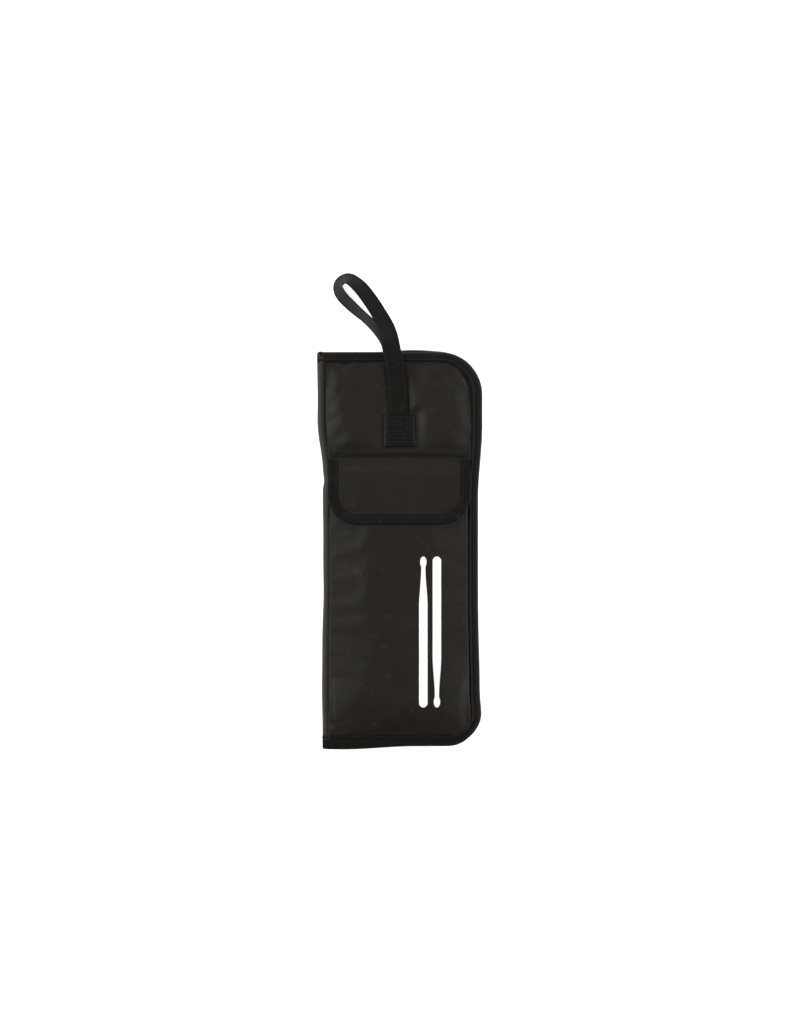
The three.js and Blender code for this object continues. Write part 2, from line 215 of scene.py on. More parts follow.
def floor_finish():
    finish = Finish("floor_paper", Roughness=0.9, Specular_IOR_Level=0.1, Emission_Strength=0.78)
    finish.shader.inputs["Emission Color"].default_value = (1, 1, 1, 1)
    place = finish.object_place()
    mottle = finish.noise(place, 300)
    return finish.feed(Base_Color=finish.mix(mottle, (0.9, 0.9, 0.9, 1), (0.93, 0.93, 0.93, 1)))


bpy.ops.mesh.primitive_plane_add(size=80)
floor = bpy.context.object
floor.name = "floor"
floor.location = (0, 0, -0.0002)
floor.data.materials.append(floor_finish())

# ---------------------------------------------------------------- front outer panel
# The upper layer of the bag: coated woven polyester over a thin foam pad, sewn to the spine on the
# left and to the zipper tape on the other sides. It is slack between its seams, and creases run
# from the webbing patch that carries the hanging loop.

HALF_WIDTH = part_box("front_zipper_coil")[1][0] / MM
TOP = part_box("front_zipper_coil")[1][1] / MM
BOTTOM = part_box("front_zipper_coil")[0][1] / MM
TOP_CORNER = 48
BOTTOM_CORNER = 38
FRONT_INSET = HALF_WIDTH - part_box("front_outer_panel")[1][0] / MM
FRONT_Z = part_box("front_outer_panel")[1][2] / MM
FABRIC = 1.0
SPINE_SEAM = -84.7
ABOVE_ALL = 0.1  # metres, higher than every piece
SHELL_DARK = grey(0.0046, 0.34)
SHELL_LIGHT = grey(0.0072, 0.32)


def rise(value, start, end):
    """0 before start, 1 after end, smooth between."""
    share = np.clip((value - start) / (end - start), 0, 1)
    return share * share * (3 - 2 * share)


def hump(value, middle, reach):
    return np.exp(-(((value - middle) / reach) ** 2))


def settle(points):
    """Moves points on the straight outline to where the filled bag's sides really stand.

    The stick end is pushed out on both sides, the pocket end is drawn in, and the spine has a
    dent beside the flap's seam.
    """
    points = np.array(points, float)
    x, y = points[..., 0], points[..., 1]
    right = -1.7 + 4.9 * rise(y, 15, 100) + 2.0 * hump(y, -205, 60) + 2.6 * rise(-y, 205, 240)
    left = 3.8 - 1.0 * rise(-y, 90, 170) - 6.8 * rise(y, 42, 108) + 1.5 * hump(y, 36, 6)
    share = np.clip(x / HALF_WIDTH, -1.05, 1.05)
    points[..., 0] = x + np.where(x > 0, share * right, -share * left)
    points[..., 1] = y + 0.8 * rise(y, 150, 180)
    return points


def settled(x, y):
    """Settled points at the heights y, from one x for all of them or one for each."""
    return settle(np.stack([np.broadcast_to(np.asarray(x, float), y.shape), y], -1))


def right_side(y, inset):
    """Where the outline, drawn in by inset, runs on the side away from the spine."""
    y = np.asarray(y, float)
    x = np.full(y.shape, HALF_WIDTH - inset)
    ends = ((TOP_CORNER, TOP - TOP_CORNER, 1), (BOTTOM_CORNER, BOTTOM + BOTTOM_CORNER, -1))
    for corner, centre, sign in ends:
        over = np.clip(sign * (y - centre), 0, corner - inset)
        turned_in = HALF_WIDTH - corner + np.sqrt((corner - inset) ** 2 - over**2)
        x = np.where(sign * (y - centre) > 0, turned_in, x)
    return x


def rows_between(low, high, corner_low, corner_high, step):
    """Heights across a panel, close together where its corners are round."""
    turns = np.linspace(0, math.pi / 2, 13)
    lower = low + corner_low * (1 - np.cos(turns)) if corner_low else np.array([low])
    upper = high - corner_high * (1 - np.cos(turns)) if corner_high else np.array([high])
    middle = np.linspace(lower[-1], upper[-1], max(2, int((upper[-1] - lower[-1]) / step)))
    return np.concatenate([lower[:-1], middle, upper[:-1][::-1]])


def link(name, points, faces, uv=None, smooth=True):
    """A mesh object at the origin, from points in millimetres."""
    mesh = bpy.data.meshes.new(name)
    mesh.from_pydata([tuple(p) for p in np.asarray(points, float) * MM], [], faces)
    if uv is not None:
        layer = mesh.uv_layers.new(name="cloth")
        layer.data.foreach_set("uv", (np.asarray(uv, float) * MM).ravel())
    mesh.polygons.foreach_set("use_smooth", [smooth] * len(mesh.polygons))
    mesh.update()
    made = bpy.data.objects.new(name, mesh)
    bpy.context.scene.collection.objects.link(made)
    return made


def panel(name, rows, left, right, height, columns):
    """A sheet of quads between two sides: left and right give x at each row, height gives z."""
    across = np.linspace(0, 1, columns + 1)
    x = left[:, None] + (right - left)[:, None] * across[None, :]
    y = np.repeat(rows[:, None], columns + 1, axis=1)
    points = np.stack([x, y, height(x, y)], axis=-1)
    wide = columns + 1
    faces = []
    for i in range(len(rows) - 1):
        for j in range(columns):
            a = i * wide + j
            faces.append((a, a + 1, a + wide + 1, a + wide))
    flat = points.reshape(-1, 3)
    uv = [flat[v][:2] for face in faces for v in face]
    return link(name, flat, faces, uv)


def finished(obj):
    """The object's own mesh with every modifier applied."""
    bpy.context.view_layer.update()
    graph = bpy.context.evaluated_depsgraph_get()
    mesh = bpy.data.meshes.new_from_object(obj.evaluated_get(graph), depsgraph=graph)
    obj.modifiers.clear()
    obj.data = mesh
    obj.data.polygons.foreach_set("use_smooth", [True] * len(obj.data.polygons))
    return obj


def relax(obj, pinned, pressure, slack, most, frames=18):
    """Lets a sheet puff and wrinkle between its sewn edges, then keeps the result in its mesh.

    pinned is a list of vertex indices, slack the share by which the cloth is cut too large, and
    most the furthest a point may move, in millimetres.
    """
    before = np.array([v.co for v in obj.data.vertices])
    group = obj.vertex_groups.new(name="seams")
    group.add(pinned, 1.0, "REPLACE")
    cloth = obj.modifiers.new("cloth", "CLOTH")
    settings = cloth.settings
    settings.quality = 7
    settings.mass = 0.25
    settings.tension_stiffness = 18
    settings.compression_stiffness = 18
    settings.shear_stiffness = 6
    settings.bending_stiffness = 0.9
    settings.vertex_group_mass = "seams"
    settings.shrink_min = -slack
    settings.use_pressure = True
    settings.uniform_pressure_force = pressure
    settings.effector_weights.gravity = 0
    cloth.collision_settings.use_collision = False
    cloth.point_cache.frame_start = 1
    cloth.point_cache.frame_end = frames
    for step in range(1, frames + 1):
        bpy.context.scene.frame_set(step)
    finished(obj)
    bpy.context.scene.frame_set(1)
    obj.vertex_groups.clear()
    after = np.array([v.co for v in obj.data.vertices])
    moved = after - before
    length = np.linalg.norm(moved, axis=1, keepdims=True)
    moved *= np.minimum(1.0, most * MM / np.maximum(length, 1e-9))
    obj.data.vertices.foreach_set("co", (before + moved).astype(np.float32).ravel())
    obj.data.update()
    return obj


def reshape(obj, level):
    """Moves each vertex to the height level(x, y, z), all in millimetres."""
    points = np.array([v.co for v in obj.data.vertices]) / MM
    points[:, 2] = level(*points.T)
    obj.data.vertices.foreach_set("co", (points * MM).astype(np.float32).ravel())
    obj.data.update()


def raise_by(obj, height):
    """Lifts each vertex by height(x, y)."""
    reshape(obj, lambda x, y, z: z + height(x, y))


def thicken(obj, thickness, offset=-1):
    """Gives a sheet its thickness and rounds it with one subdivision."""
    wall = obj.modifiers.new("wall", "SOLIDIFY")
    wall.thickness = thickness * MM
    wall.offset = offset
    smooth = obj.modifiers.new("smooth", "SUBSURF")
    smooth.levels = smooth.render_levels = 1
    return finished(obj)


def surface_of(obj):
    """A function that gives the highest z of the object at x, y, or the front's where it isn't."""
    tree = BVHTree.FromObject(obj, bpy.context.evaluated_depsgraph_get())

    def height(x, y):
        hit = tree.ray_cast(Vector((x * MM, y * MM, ABOVE_ALL)), Vector((0, 0, -1)))
        return hit[0].z / MM if hit[0] is not None else FRONT_Z

    return height


def along(x, y, start, end, width):
    """How near a point is to the line of a fold, 1 on it and 0 away from it."""
    sx, sy = start
    dx, dy = end[0] - sx, end[1] - sy
    share = np.clip(((x - sx) * dx + (y - sy) * dy) / (dx * dx + dy * dy), 0, 1)
    away = np.hypot(x - sx - share * dx, y - sy - share * dy)
    return np.exp(-((away / width) ** 2)) * np.sin(math.pi * (0.12 + 0.76 * share))


# each fold: where it starts and ends, how wide it is and how high it stands
UPPER_FOLDS = [
    ((-66, 168), (-34, 132), 9, 0.8),
    ((-46, 156), (-29, 96), 13, -1.0),
    ((-86, 132), (-58, 116), 7, 0.5),
    ((10, 170), (26, 146), 9, -1.0),
    ((24, 96), (34, 62), 9, -0.8),
    ((-22, 76), (-44, 60), 6, 0.8),
    ((44, 60), (78, 74), 8, 0.6),
]


def fold_height(x, y, folds):
    return sum(height * along(x, y, start, end, width) for start, end, width, height in folds)


def front_height(x, y):
    sides = np.minimum(x - SPINE_SEAM, right_side(y, FRONT_INSET) - x)
    edge = np.minimum(sides, TOP - FRONT_INSET - y)
    return FRONT_Z - 1.3 + 1.6 * rise(edge, -2, 14)


def shell_finish():
    """Coated plain weave with a soft sheen, faint unevenness and a little lint in the weave."""
    finish = Finish("shell_fabric", Specular_IOR_Level=0.22, Sheen_Weight=0.01, Sheen_Roughness=0.4)
    place = finish.object_place()
    x = finish.part(place, "X") + finish.part(place, "Z")
    y = finish.part(place, "Y")
    over = finish.wave(x, 0.9) * finish.wave(y, 0.9)
    weave = over + (1 - finish.wave(x, 0.9)) * (1 - finish.wave(y, 0.9))
    patches = finish.noise(place, 45, 4)
    rubbed = finish.ramp(finish.noise(place, 14, 6, 0.65), 0.56, 0.74)
    lint = finish.ramp(finish.noise(place, 1.6, 2), 0.74, 0.8)
    colour = finish.mix(patches, SHELL_DARK, SHELL_LIGHT)
    colour = finish.mix(rubbed * 0.35, colour, grey(0.03, 0.1))
    colour = finish.mix(lint * 0.25, colour, grey(0.09, 0.05))
    rough = 0.42 + patches * 0.12 + weave * 0.05 + rubbed * 0.08
    soft = finish.bump(finish.noise(place, 22, 3), 0.55)
    fine = finish.bump(finish.noise(place, 5, 3), 0.09, soft)
    return finish.feed(Base_Color=colour, Roughness=rough, Normal=finish.bump(weave, 0.07, fine))


def dress(obj, material):
    """Puts one finish on a piece."""
    obj.data.materials.clear()
    obj.data.materials.append(material)
    return obj


def fit(obj, material, body, node):
    """Dresses a piece and sets it on its body in place of the frame's plain node."""
    dress(obj, material)
    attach(obj, body)
    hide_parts(node)
    return obj


shell_fabric = shell_finish()

front_rows = rows_between(
    BOTTOM + FRONT_INSET, TOP - FRONT_INSET, BOTTOM_CORNER - FRONT_INSET, TOP_CORNER - FRONT_INSET, 4.0
)
front_right = settled(right_side(front_rows, FRONT_INSET), front_rows)[:, 0]
front_left = settled(SPINE_SEAM, front_rows)[:, 0]
FRONT_COLUMNS = 42
front_shell = panel("front_shell", front_rows, front_left, front_right, front_height, FRONT_COLUMNS)


def rim(rows, columns):
    """Indices of the vertices on a panel's four sides."""
    picked = []
    for i in range(rows):
        for j in range(columns + 1):
            if i in (0, rows - 1) or j in (0, columns):
                picked.append(i * (columns + 1) + j)
    return picked


relax(front_shell, rim(len(front_rows), FRONT_COLUMNS), pressure=1.2, slack=0.007, most=1.6)


def lowest(*planes):
    """The lowest of several slopes, rounded where they meet."""
    return -0.45 * np.log(sum(np.exp(-plane / 0.45) for plane in planes))


def slopes(x, y):
    """The two taut areas that lean outwards, left and right of the patch."""
    from_left = -0.906 * (x + 84) - 0.423 * (y - 148)
    left = lowest(0.085 * (x + 94), 2.4 + 0.1 * from_left, 0.12 * (y - 50))
    above = 0.75 * (x - 20) - 0.66 * (y - 124)
    below = 0.77 * (x - 20) + 0.64 * (y - 112)
    right = lowest(0.045 * (96 - x), 2.2 + 0.1 * above, 2.2 + 0.1 * below)
    return np.where(x < 0, np.maximum(left, 0), np.maximum(right, 0))


def held_down(x, y):
    """1 under the patch, the webbing and the flap's seam, which hold the panel flat."""
    under_patch = (1 - rise(np.abs(x + 0.5), 19, 31)) * rise(y, 66, 76) * (1 - rise(y, 112, 124))
    under_strap = (1 - rise(np.abs(x + 4), 11, 22)) * rise(y, 100, 112)
    return np.maximum(np.maximum(under_patch, under_strap), 1 - rise(np.abs(y - 62), 5, 22))


def press(obj, mask, level):
    """Pulls the vertices under a mask down to a level."""
    reshape(obj, lambda x, y, z: z + mask(x, y) * (level - z))


def upper_folds(x, y):
    inside = np.minimum(np.minimum(x + 90, right_side(y, FRONT_INSET) - x), TOP - FRONT_INSET - y)
    return (fold_height(x, y, UPPER_FOLDS) + slopes(x, y)) * rise(inside, 0, 12) * rise(y, 52, 74)


raise_by(front_shell, upper_folds)
press(front_shell, held_down, FRONT_Z + 0.2)
raise_by(front_shell, lambda x, y: -2.2 * (1 - rise(y, 30, 62)) * rise(y, -250, -225))
thicken(front_shell, FABRIC)
fit(front_shell, shell_fabric, "front_half", "front_outer_panel")
front_top = surface_of(front_shell)

# ---------------------------------------------------------------- zipper: front tape, coil and piping
# Woven tape runs from the piping over the bag's rim to the coil, along the top, the side away from
# the spine and the bottom. The coil is a row of nylon loops on the tape's edge, and the piping is a
# cord in a fabric sleeve, sewn into the seam between tape and panel.

TAPE_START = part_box("front_zipper_tape")[0][0] / MM - 2.8
COIL_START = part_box("front_zipper_coil")[0][0] / MM
FRONT_COIL_Z = (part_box("front_zipper_coil")[0][2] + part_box("front_zipper_coil")[1][2]) / 2 / MM
FRONT_PIPING_Z = (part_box("front_piping")[0][2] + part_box("front_piping")[1][2]) / 2 / MM
PIPING_RADIUS = 1.25
COIL_PITCH = 2.3
TAPE = 0.7


def spread(first, last, step):
    return np.linspace(first, last, max(2, int(abs(last - first) / step) + 1))


def rim_path(inset, start=TAPE_START, step=6.0, back=False):
    """Points along the three zipped sides, drawn in by inset.

    They run from the spine along the top, down the side and back along the bottom. The back's
    rim stands out behind the hanging loop.
    """
    top_x, bottom_x = HALF_WIDTH - TOP_CORNER, HALF_WIDTH - BOTTOM_CORNER
    top_y, bottom_y = TOP - TOP_CORNER, BOTTOM + BOTTOM_CORNER
    across = spread(start, top_x, step)
    down = spread(top_y, bottom_y, step)
    home = spread(bottom_x, start, step)
    turns = np.linspace(0, math.pi / 2, 15)
    parts = [np.stack([across, np.full(across.shape, TOP - inset)], -1)]
    reach = TOP_CORNER - inset
    parts.append(np.stack([top_x + reach * np.sin(turns), top_y + reach * np.cos(turns)], -1)[1:])
    parts.append(np.stack([np.full(down.shape, HALF_WIDTH - inset), down], -1)[1:])
    reach = BOTTOM_CORNER - inset
    parts.append(np.stack([bottom_x + reach * np.cos(turns), bottom_y - reach * np.sin(turns)], -1)[1:])
    parts.append(np.stack([home, np.full(home.shape, BOTTOM + inset)], -1)[1:])
    points = settle(np.concatenate(parts))
    if back:
        points[:, 1] += 2.6 * hump(points[:, 0], 16, 30) * rise(points[:, 1], 150, 180)
    return points


def at_height(path, z):
    """A path of x, y points at one height."""
    return np.concatenate([path, np.full((len(path), 1), float(z))], axis=1)


def strip_along(paths, heights):
    """Rings of a strip: one path and one height for each line that runs along it."""
    return np.stack([at_height(path, z) for path, z in zip(paths, heights)], axis=1)


def sweep(name, rings, closed=True):
    """A mesh through rings of points, with its lengths along and across as the cloth map."""
    rings = np.asarray(rings, float)
    count, size = rings.shape[:2]
    middle = rings.mean(axis=1)
    u = np.concatenate([[0], np.cumsum(np.linalg.norm(np.diff(middle, axis=0), axis=1))])
    around = rings[count // 2]
    if closed:
        around = np.concatenate([around, around[:1]])
    v = np.concatenate([[0], np.cumsum(np.linalg.norm(np.diff(around, axis=0), axis=1))])
    faces, uv = [], []
    for i in range(count - 1):
        for j in range(size if closed else size - 1):
            k = (j + 1) % size
            faces.append((i * size + j, i * size + k, (i + 1) * size + k, (i + 1) * size + j))
            uv += [(u[i], v[j]), (u[i], v[j + 1]), (u[i + 1], v[j + 1]), (u[i + 1], v[j])]
    if closed:
        faces.append(tuple(range(size))[::-1])
        uv += [(u[0] - 1, v[j]) for j in range(size)][::-1]
        faces.append(tuple((count - 1) * size + j for j in range(size)))
        uv += [(u[-1] + 1, v[j]) for j in range(size)]
    made = link(name, rings.reshape(-1, 3), faces, uv)
    if closed:
        face_out(made)
    return made


def face_out(obj):
    """Turns every face of a closed mesh outwards."""
    shape = bmesh.new()
    shape.from_mesh(obj.data)
    bmesh.ops.recalc_face_normals(shape, faces=shape.faces)
    shape.to_mesh(obj.data)
    shape.free()
    return obj


def tube(name, centres, radius, sides=10):
    """A round cord through points in millimetres."""
    centres = np.asarray(centres, float)
    ahead = np.gradient(centres, axis=0)
    ahead /= np.linalg.norm(ahead, axis=1, keepdims=True)
    side = np.cross(ahead, (0, 0, 1.0))
    side /= np.maximum(np.linalg.norm(side, axis=1, keepdims=True), 1e-9)
    up = np.cross(side, ahead)
    turns = np.arange(sides) * 2 * math.pi / sides
    rings = [centres + radius * (math.cos(t) * side + math.sin(t) * up) for t in turns]
    return sweep(name, np.stack(rings, axis=1))


def tape_finish():
    """Herringbone tape: ribs that lean one way and then the other across its width."""
    finish = Finish("zipper_tape", Specular_IOR_Level=0.09)
    place = finish.surface_place()
    length = finish.part(place, "X")
    width = finish.part(place, "Y")
    lean = finish.ramp(finish.wave(width, 5.2), 0.42, 0.58)
    rising = finish.wave(length + width * 0.9, 3.2)
    falling = finish.wave(length - width * 0.9, 3.2)
    ribs = rising * lean + falling * (1 - lean)
    worn = finish.noise(finish.object_place(), 9, 4, 0.6)
    colour = finish.mix(ribs, (0.0014, 0.0014, 0.001, 1), (0.0108, 0.0106, 0.0078, 1))
    colour = finish.mix(finish.ramp(worn, 0.55, 0.75) * 0.3, colour, grey(0.024, 0.05))
    return finish.feed(Base_Color=colour, Roughness=0.62 + worn * 0.16, Normal=finish.bump(ribs, 0.4))


def coil_finish():
    """Nylon coil: satin black plastic, scuffed where the slider rubs it."""
    finish = Finish("zipper_coil", Specular_IOR_Level=0.35)
    scuffs = finish.noise(finish.object_place(), 2.5, 5, 0.7)
    colour = finish.mix(finish.ramp(scuffs, 0.55, 0.7) * 0.5, grey(0.009, 0.02), grey(0.022, 0.02))
    return finish.feed(Base_Color=colour, Roughness=0.36 + scuffs * 0.24, Normal=finish.bump(scuffs, 0.04))


def piping_finish():
    """Tight fabric sleeve round a cord: fine slanting weave and a rubbed crest."""
    finish = Finish("piping_fabric", Specular_IOR_Level=0.14)
    place = finish.surface_place()
    slant = finish.wave(finish.part(place, "X") + finish.part(place, "Y"), 0.95)
    rubbed = finish.noise(finish.object_place(), 7, 4, 0.6)
    colour = finish.mix(rubbed * 0.7, grey(0.0045, 0.1), grey(0.0085, 0.1))
    return finish.feed(Base_Color=colour, Roughness=0.5 + rubbed * 0.14, Normal=finish.bump(slant, 0.08))


zipper_tape = tape_finish()
zipper_coil = coil_finish()
piping_fabric = piping_finish()


def rolled_tape(name, lines, hang=0.0, back=False):
    """The tape from the piping's seam over the rim and down to the coil's edge.

    hang gives, for each line along the tape, its share in the rim's sag over the bottom edge,
    which is greatest near the spine, where the slider is parked.
    """
    paths = [rim_path(inset, back=back) for inset, _ in lines]
    rings = strip_along(paths, [z for _, z in lines])
    sag = (2.6 + 4.2 * rise(-rings[:, :, 0], -20, 66)) * rise(-rings[:, :, 1], 254, 267)
    sag *= 0.55 + 0.45 * rise(rings[:, :, 0], -97, -85)  # the corner at the spine is round
    rings[:, :, 1] -= sag * hang
    length = np.arange(len(rings))
    rings[:, :, 2] += (0.22 * np.sin(length * 1.7) + 0.16 * np.sin(length * 0.61))[:, None]
    return sweep(name, rings, closed=False)


# for each line along the tape: how far it is drawn in from the outline, and its height
FRONT_TAPE_LINES = [
    (14.2, 24.2), (9.6, 24.6), (7.0, 24.1), (4.4, 22.9), (2.3, 21.0), (1.2, 18.8), (0.9, 16.8), (1.6, 15.6)
]  # fmt: skip
FRONT_TAPE_HANG = np.array([1, 1, 1, 1, 1, 0.85, 0.3, 0])
front_tape = rolled_tape("front_tape", FRONT_TAPE_LINES, hang=FRONT_TAPE_HANG)
thicken(front_tape, TAPE, offset=0)
fit(front_tape, zipper_tape, "front_half", "front_zipper_tape")


def row_tree():
    """A tree that sets copies of a shape along every path of a mesh, one per pitch.

    Each copy lies along its path and stands on the up direction that the path's points carry.
    """
    tree = bpy.data.node_groups.new("row_along_a_path", "GeometryNodeTree")
    tree.interface.new_socket("Row", in_out="OUTPUT", socket_type="NodeSocketGeometry")
    for label, kind in (
        ("Path", "Geometry"),
        ("Shape", "Object"),
        ("Pitch", "Float"),
        ("Unevenness", "Float"),
        ("Finish", "Material"),
    ):
        tree.interface.new_socket(label, in_out="INPUT", socket_type="NodeSocket" + kind)

    def node(kind, settings=None, **links):
        made = tree.nodes.new(kind)
        for key, value in (settings or {}).items():
            setattr(made, key, value)
        for key, value in links.items():
            socket = made.inputs[key.replace("_", " ")]
            if isinstance(value, bpy.types.NodeSocket):
                tree.links.new(value, socket)
            else:
                socket.default_value = value
        return made

    given = node("NodeGroupInput").outputs
    curve = node("GeometryNodeMeshToCurve", Mesh=given["Path"])
    even = node("GeometryNodeResampleCurve", Curve=curve.outputs[0])
    if hasattr(even, "mode"):
        even.mode = "LENGTH"
    tree.links.new(given["Pitch"], even.inputs["Length"])
    tangent = node("GeometryNodeInputTangent")
    up = node("GeometryNodeInputNamedAttribute", {"data_type": "FLOAT_VECTOR"}, Name="up")
    lie = node("FunctionNodeAlignRotationToVector", {"axis": "X"}, Vector=tangent.outputs[0])
    upright = {"axis": "Z", "pivot_axis": "X"}
    stand = node("FunctionNodeAlignRotationToVector", upright, Vector=up.outputs[0])
    tree.links.new(lie.outputs[0], stand.inputs["Rotation"])
    shape = node("GeometryNodeObjectInfo", Object=given["Shape"])
    size = node("FunctionNodeRandomValue", {"data_type": "FLOAT"}, Seed=7)
    small = node("ShaderNodeMath", {"operation": "SUBTRACT"})
    small.inputs[0].default_value = 1.0
    tree.links.new(given["Unevenness"], small.inputs[1])
    large = node("ShaderNodeMath", {"operation": "ADD"})
    large.inputs[0].default_value = 1.0
    tree.links.new(given["Unevenness"], large.inputs[1])
    floats = [s for s in size.inputs if s.type == "VALUE" and s.name in ("Min", "Max") and s.enabled]
    tree.links.new(small.outputs[0], floats[0])
    tree.links.new(large.outputs[0], floats[1])
    copy = shape.outputs["Geometry"]
    row = node("GeometryNodeInstanceOnPoints", Points=even.outputs[0], Instance=copy)
    tree.links.new(stand.outputs[0], row.inputs["Rotation"])
    tree.links.new(next(s for s in size.outputs if s.enabled), row.inputs["Scale"])
    real = node("GeometryNodeRealizeInstances", Geometry=row.outputs[0])
    coloured = node("GeometryNodeSetMaterial", Geometry=real.outputs[0], Material=given["Finish"])
    tree.links.new(coloured.outputs[0], node("NodeGroupOutput").inputs[0])
    return tree


rows_of = row_tree()


def row_along(name, paths, shape, pitch, material, ups=None, unevenness=0.0):
    """One mesh of shapes set along paths; ups gives each path's up direction, else it is up."""
    points, edges, standing = [], [], []
    for number, path in enumerate(paths):
        first = len(points)
        up = (0, 0, 1) if ups is None else ups[number]
        points += [tuple(p) for p in np.asarray(path, float) * MM]
        standing += [up] * len(path)
        edges += [(first + i, first + i + 1) for i in range(len(path) - 1)]
    mesh = bpy.data.meshes.new(name + "_path")
    mesh.from_pydata(points, edges, [])
    layer = mesh.attributes.new("up", "FLOAT_VECTOR", "POINT")
    layer.data.foreach_set("vector", np.array(standing, np.float32).ravel())
    carrier = bpy.data.objects.new(name, mesh)
    bpy.context.scene.collection.objects.link(carrier)
    modifier = carrier.modifiers.new("row", "NODES")
    modifier.node_group = rows_of
    given = {"Shape": shape, "Pitch": pitch * MM, "Unevenness": unevenness, "Finish": material}
    for item in rows_of.interface.items_tree:
        if item.name in given:
            modifier[item.identifier] = given[item.name]
    finished(carrier)
    return carrier


def bead(name, length, width, height, sides=8, rings=4):
    """A little rounded bar that lies along X: a coil loop, a stitch or a hook."""
    points, faces = [(-length / 2, 0, 0)], []
    for i in range(rings):
        angle = math.pi * (i + 1) / (rings + 1)
        x, r = -length / 2 * math.cos(angle), math.sin(angle) ** 0.6
        for j in range(sides):
            turn = 2 * math.pi * j / sides
            points.append((x, r * width / 2 * math.cos(turn), r * height / 2 * math.sin(turn)))
    points.append((length / 2, 0, 0))
    last = len(points) - 1
    for j in range(sides):
        k = (j + 1) % sides
        faces.append((0, 1 + k, 1 + j))
        for i in range(rings - 1):
            a, b = 1 + i * sides, 1 + (i + 1) * sides
            faces.append((a + j, a + k, b + k, b + j))
        faces.append((last, last - sides + j, last - sides + k))
    made = face_out(link(name, points, faces))
    made.hide_render = True
    return made


COIL_WIDTH = 2.6
COIL_INSET = 1.25
coil_loop = bead("coil_loop_pattern", COIL_PITCH * 0.86, COIL_WIDTH, COIL_WIDTH)


def coil_row(name, body, node, z, back=False):
    """Loops set close together, from one end tab at the spine round to the other one."""
    path = at_height(rim_path(COIL_INSET, start=COIL_START, back=back), z)
    coil = row_along(name, [path], coil_loop, COIL_PITCH, zipper_coil, unevenness=0.03)
    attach(coil, body)
    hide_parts(node)


coil_row("front_coil", "front_half", "front_zipper_coil", FRONT_COIL_Z)

front_cord_path = at_height(rim_path(10.0, step=4.0), FRONT_PIPING_Z + 0.2)
front_cord = tube("front_edge_piping", front_cord_path, PIPING_RADIUS)
fit(front_cord, piping_fabric, "front_half", "front_piping")

# ---------------------------------------------------------------- front foam pad and front lining
# Two millimetre foam stiffens the cover, and a thin nylon lining closes it inside. The lining is a
# little loose and puckers along its seam, which a folded binding covers on three sides.

FRONT_FOAM_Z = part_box("front_foam_pad")[1][2] / MM
FRONT_LINING_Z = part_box("front_lining")[1][2] / MM
PAD_INSET = 15.0
PAD_LEFT = -87.2


def foam_finish():
    """Charcoal foam: open cells and a dry, dull face."""
    finish = Finish("foam", Roughness=0.95, Specular_IOR_Level=0.1)
    place = finish.object_place()
    cells = finish.node("TexVoronoi", None, {"Vector": place, "Scale": 900.0})
    colour = finish.mix(finish.ramp(cells, 0.1, 0.6), grey(0.012), grey(0.035))
    return finish.feed(Base_Color=colour, Normal=finish.bump(cells, 0.2))


def lining_finish():
    """Thin nylon taffeta: a fine even weave and a silky sheen."""
    finish = Finish("lining", Specular_IOR_Level=0.35, Sheen_Weight=0.12, Sheen_Roughness=0.35)
    place = finish.object_place()
    weave = finish.wave(finish.part(place, "X"), 0.5) * finish.wave(finish.part(place, "Y"), 0.5)
    patches = finish.noise(place, 30, 3)
    colour = finish.mix(patches, grey(0.012), grey(0.021))
    puckers = finish.bump(finish.noise(place, 16, 3), 0.5)
    fine = finish.bump(weave, 0.04, puckers)
    return finish.feed(Base_Color=colour, Roughness=0.42 + patches * 0.12, Normal=fine)


foam = foam_finish()
lining = lining_finish()


def inner_panel(name, inset, left, z, columns=36, step=6.0, wave=0.0):
    """A panel of the bag's outline drawn in by inset, flat or with soft puckers."""
    low_corner, high_corner = BOTTOM_CORNER - inset, TOP_CORNER - inset
    rows = rows_between(BOTTOM + inset, TOP - inset, low_corner, high_corner, step)
    right = settled(right_side(rows, inset), rows)[:, 0]
    start = settled(left, rows)[:, 0]

    def height(x, y):
        puckers = np.sin(x * 0.13 + y * 0.021) * np.sin(y * 0.06) + 0.5 * np.sin(x * 0.05 - y * 0.11)
        return z + wave * puckers

    return panel(name, rows, start, right, height, columns)


front_foam = inner_panel("front_foam", PAD_INSET, PAD_LEFT, FRONT_FOAM_Z - 0.3)
thicken(front_foam, 1.9)
fit(front_foam, foam, "front_half", "front_foam_pad")

LINING = 0.5
front_inner = inner_panel(
    "front_inner_lining", PAD_INSET, PAD_LEFT, FRONT_LINING_Z - 0.1, columns=44, step=4.5, wave=0.25
)
thicken(front_inner, LINING)
fit(front_inner, lining, "front_half", "front_lining")


def binding_finish():
    """Grosgrain binding: fine ribs across the tape, dull black, greyer where it is rubbed."""
    finish = Finish("binding_tape", Specular_IOR_Level=0.1)
    place = finish.surface_place()
    ribs = finish.wave(finish.part(place, "X"), 0.85)
    rubbed = finish.noise(finish.object_place(), 8, 4, 0.6)
    colour = finish.mix(ribs * 0.6, (0.0036, 0.004, 0.0028, 1), (0.0068, 0.0072, 0.0054, 1))
    colour = finish.mix(finish.ramp(rubbed, 0.5, 0.75) * 0.4, colour, grey(0.022, 0.04))
    ribbed = finish.bump(ribs, 0.12, finish.bump(rubbed, 0.12))
    return finish.feed(Base_Color=colour, Roughness=0.6 + rubbed * 0.15, Normal=ribbed)


binding_tape = binding_finish()


BINDING = 0.5
HEM_START = -86.5


def hem_binding(name, body, node, insets, heights):
    """A tape folded over the inner seam: from one leg round the edge to the other leg."""
    paths = [rim_path(inset, start=HEM_START) for inset in insets]
    made = sweep(name, strip_along(paths, heights), closed=False)
    thicken(made, BINDING, offset=0)
    return fit(made, binding_tape, body, node)


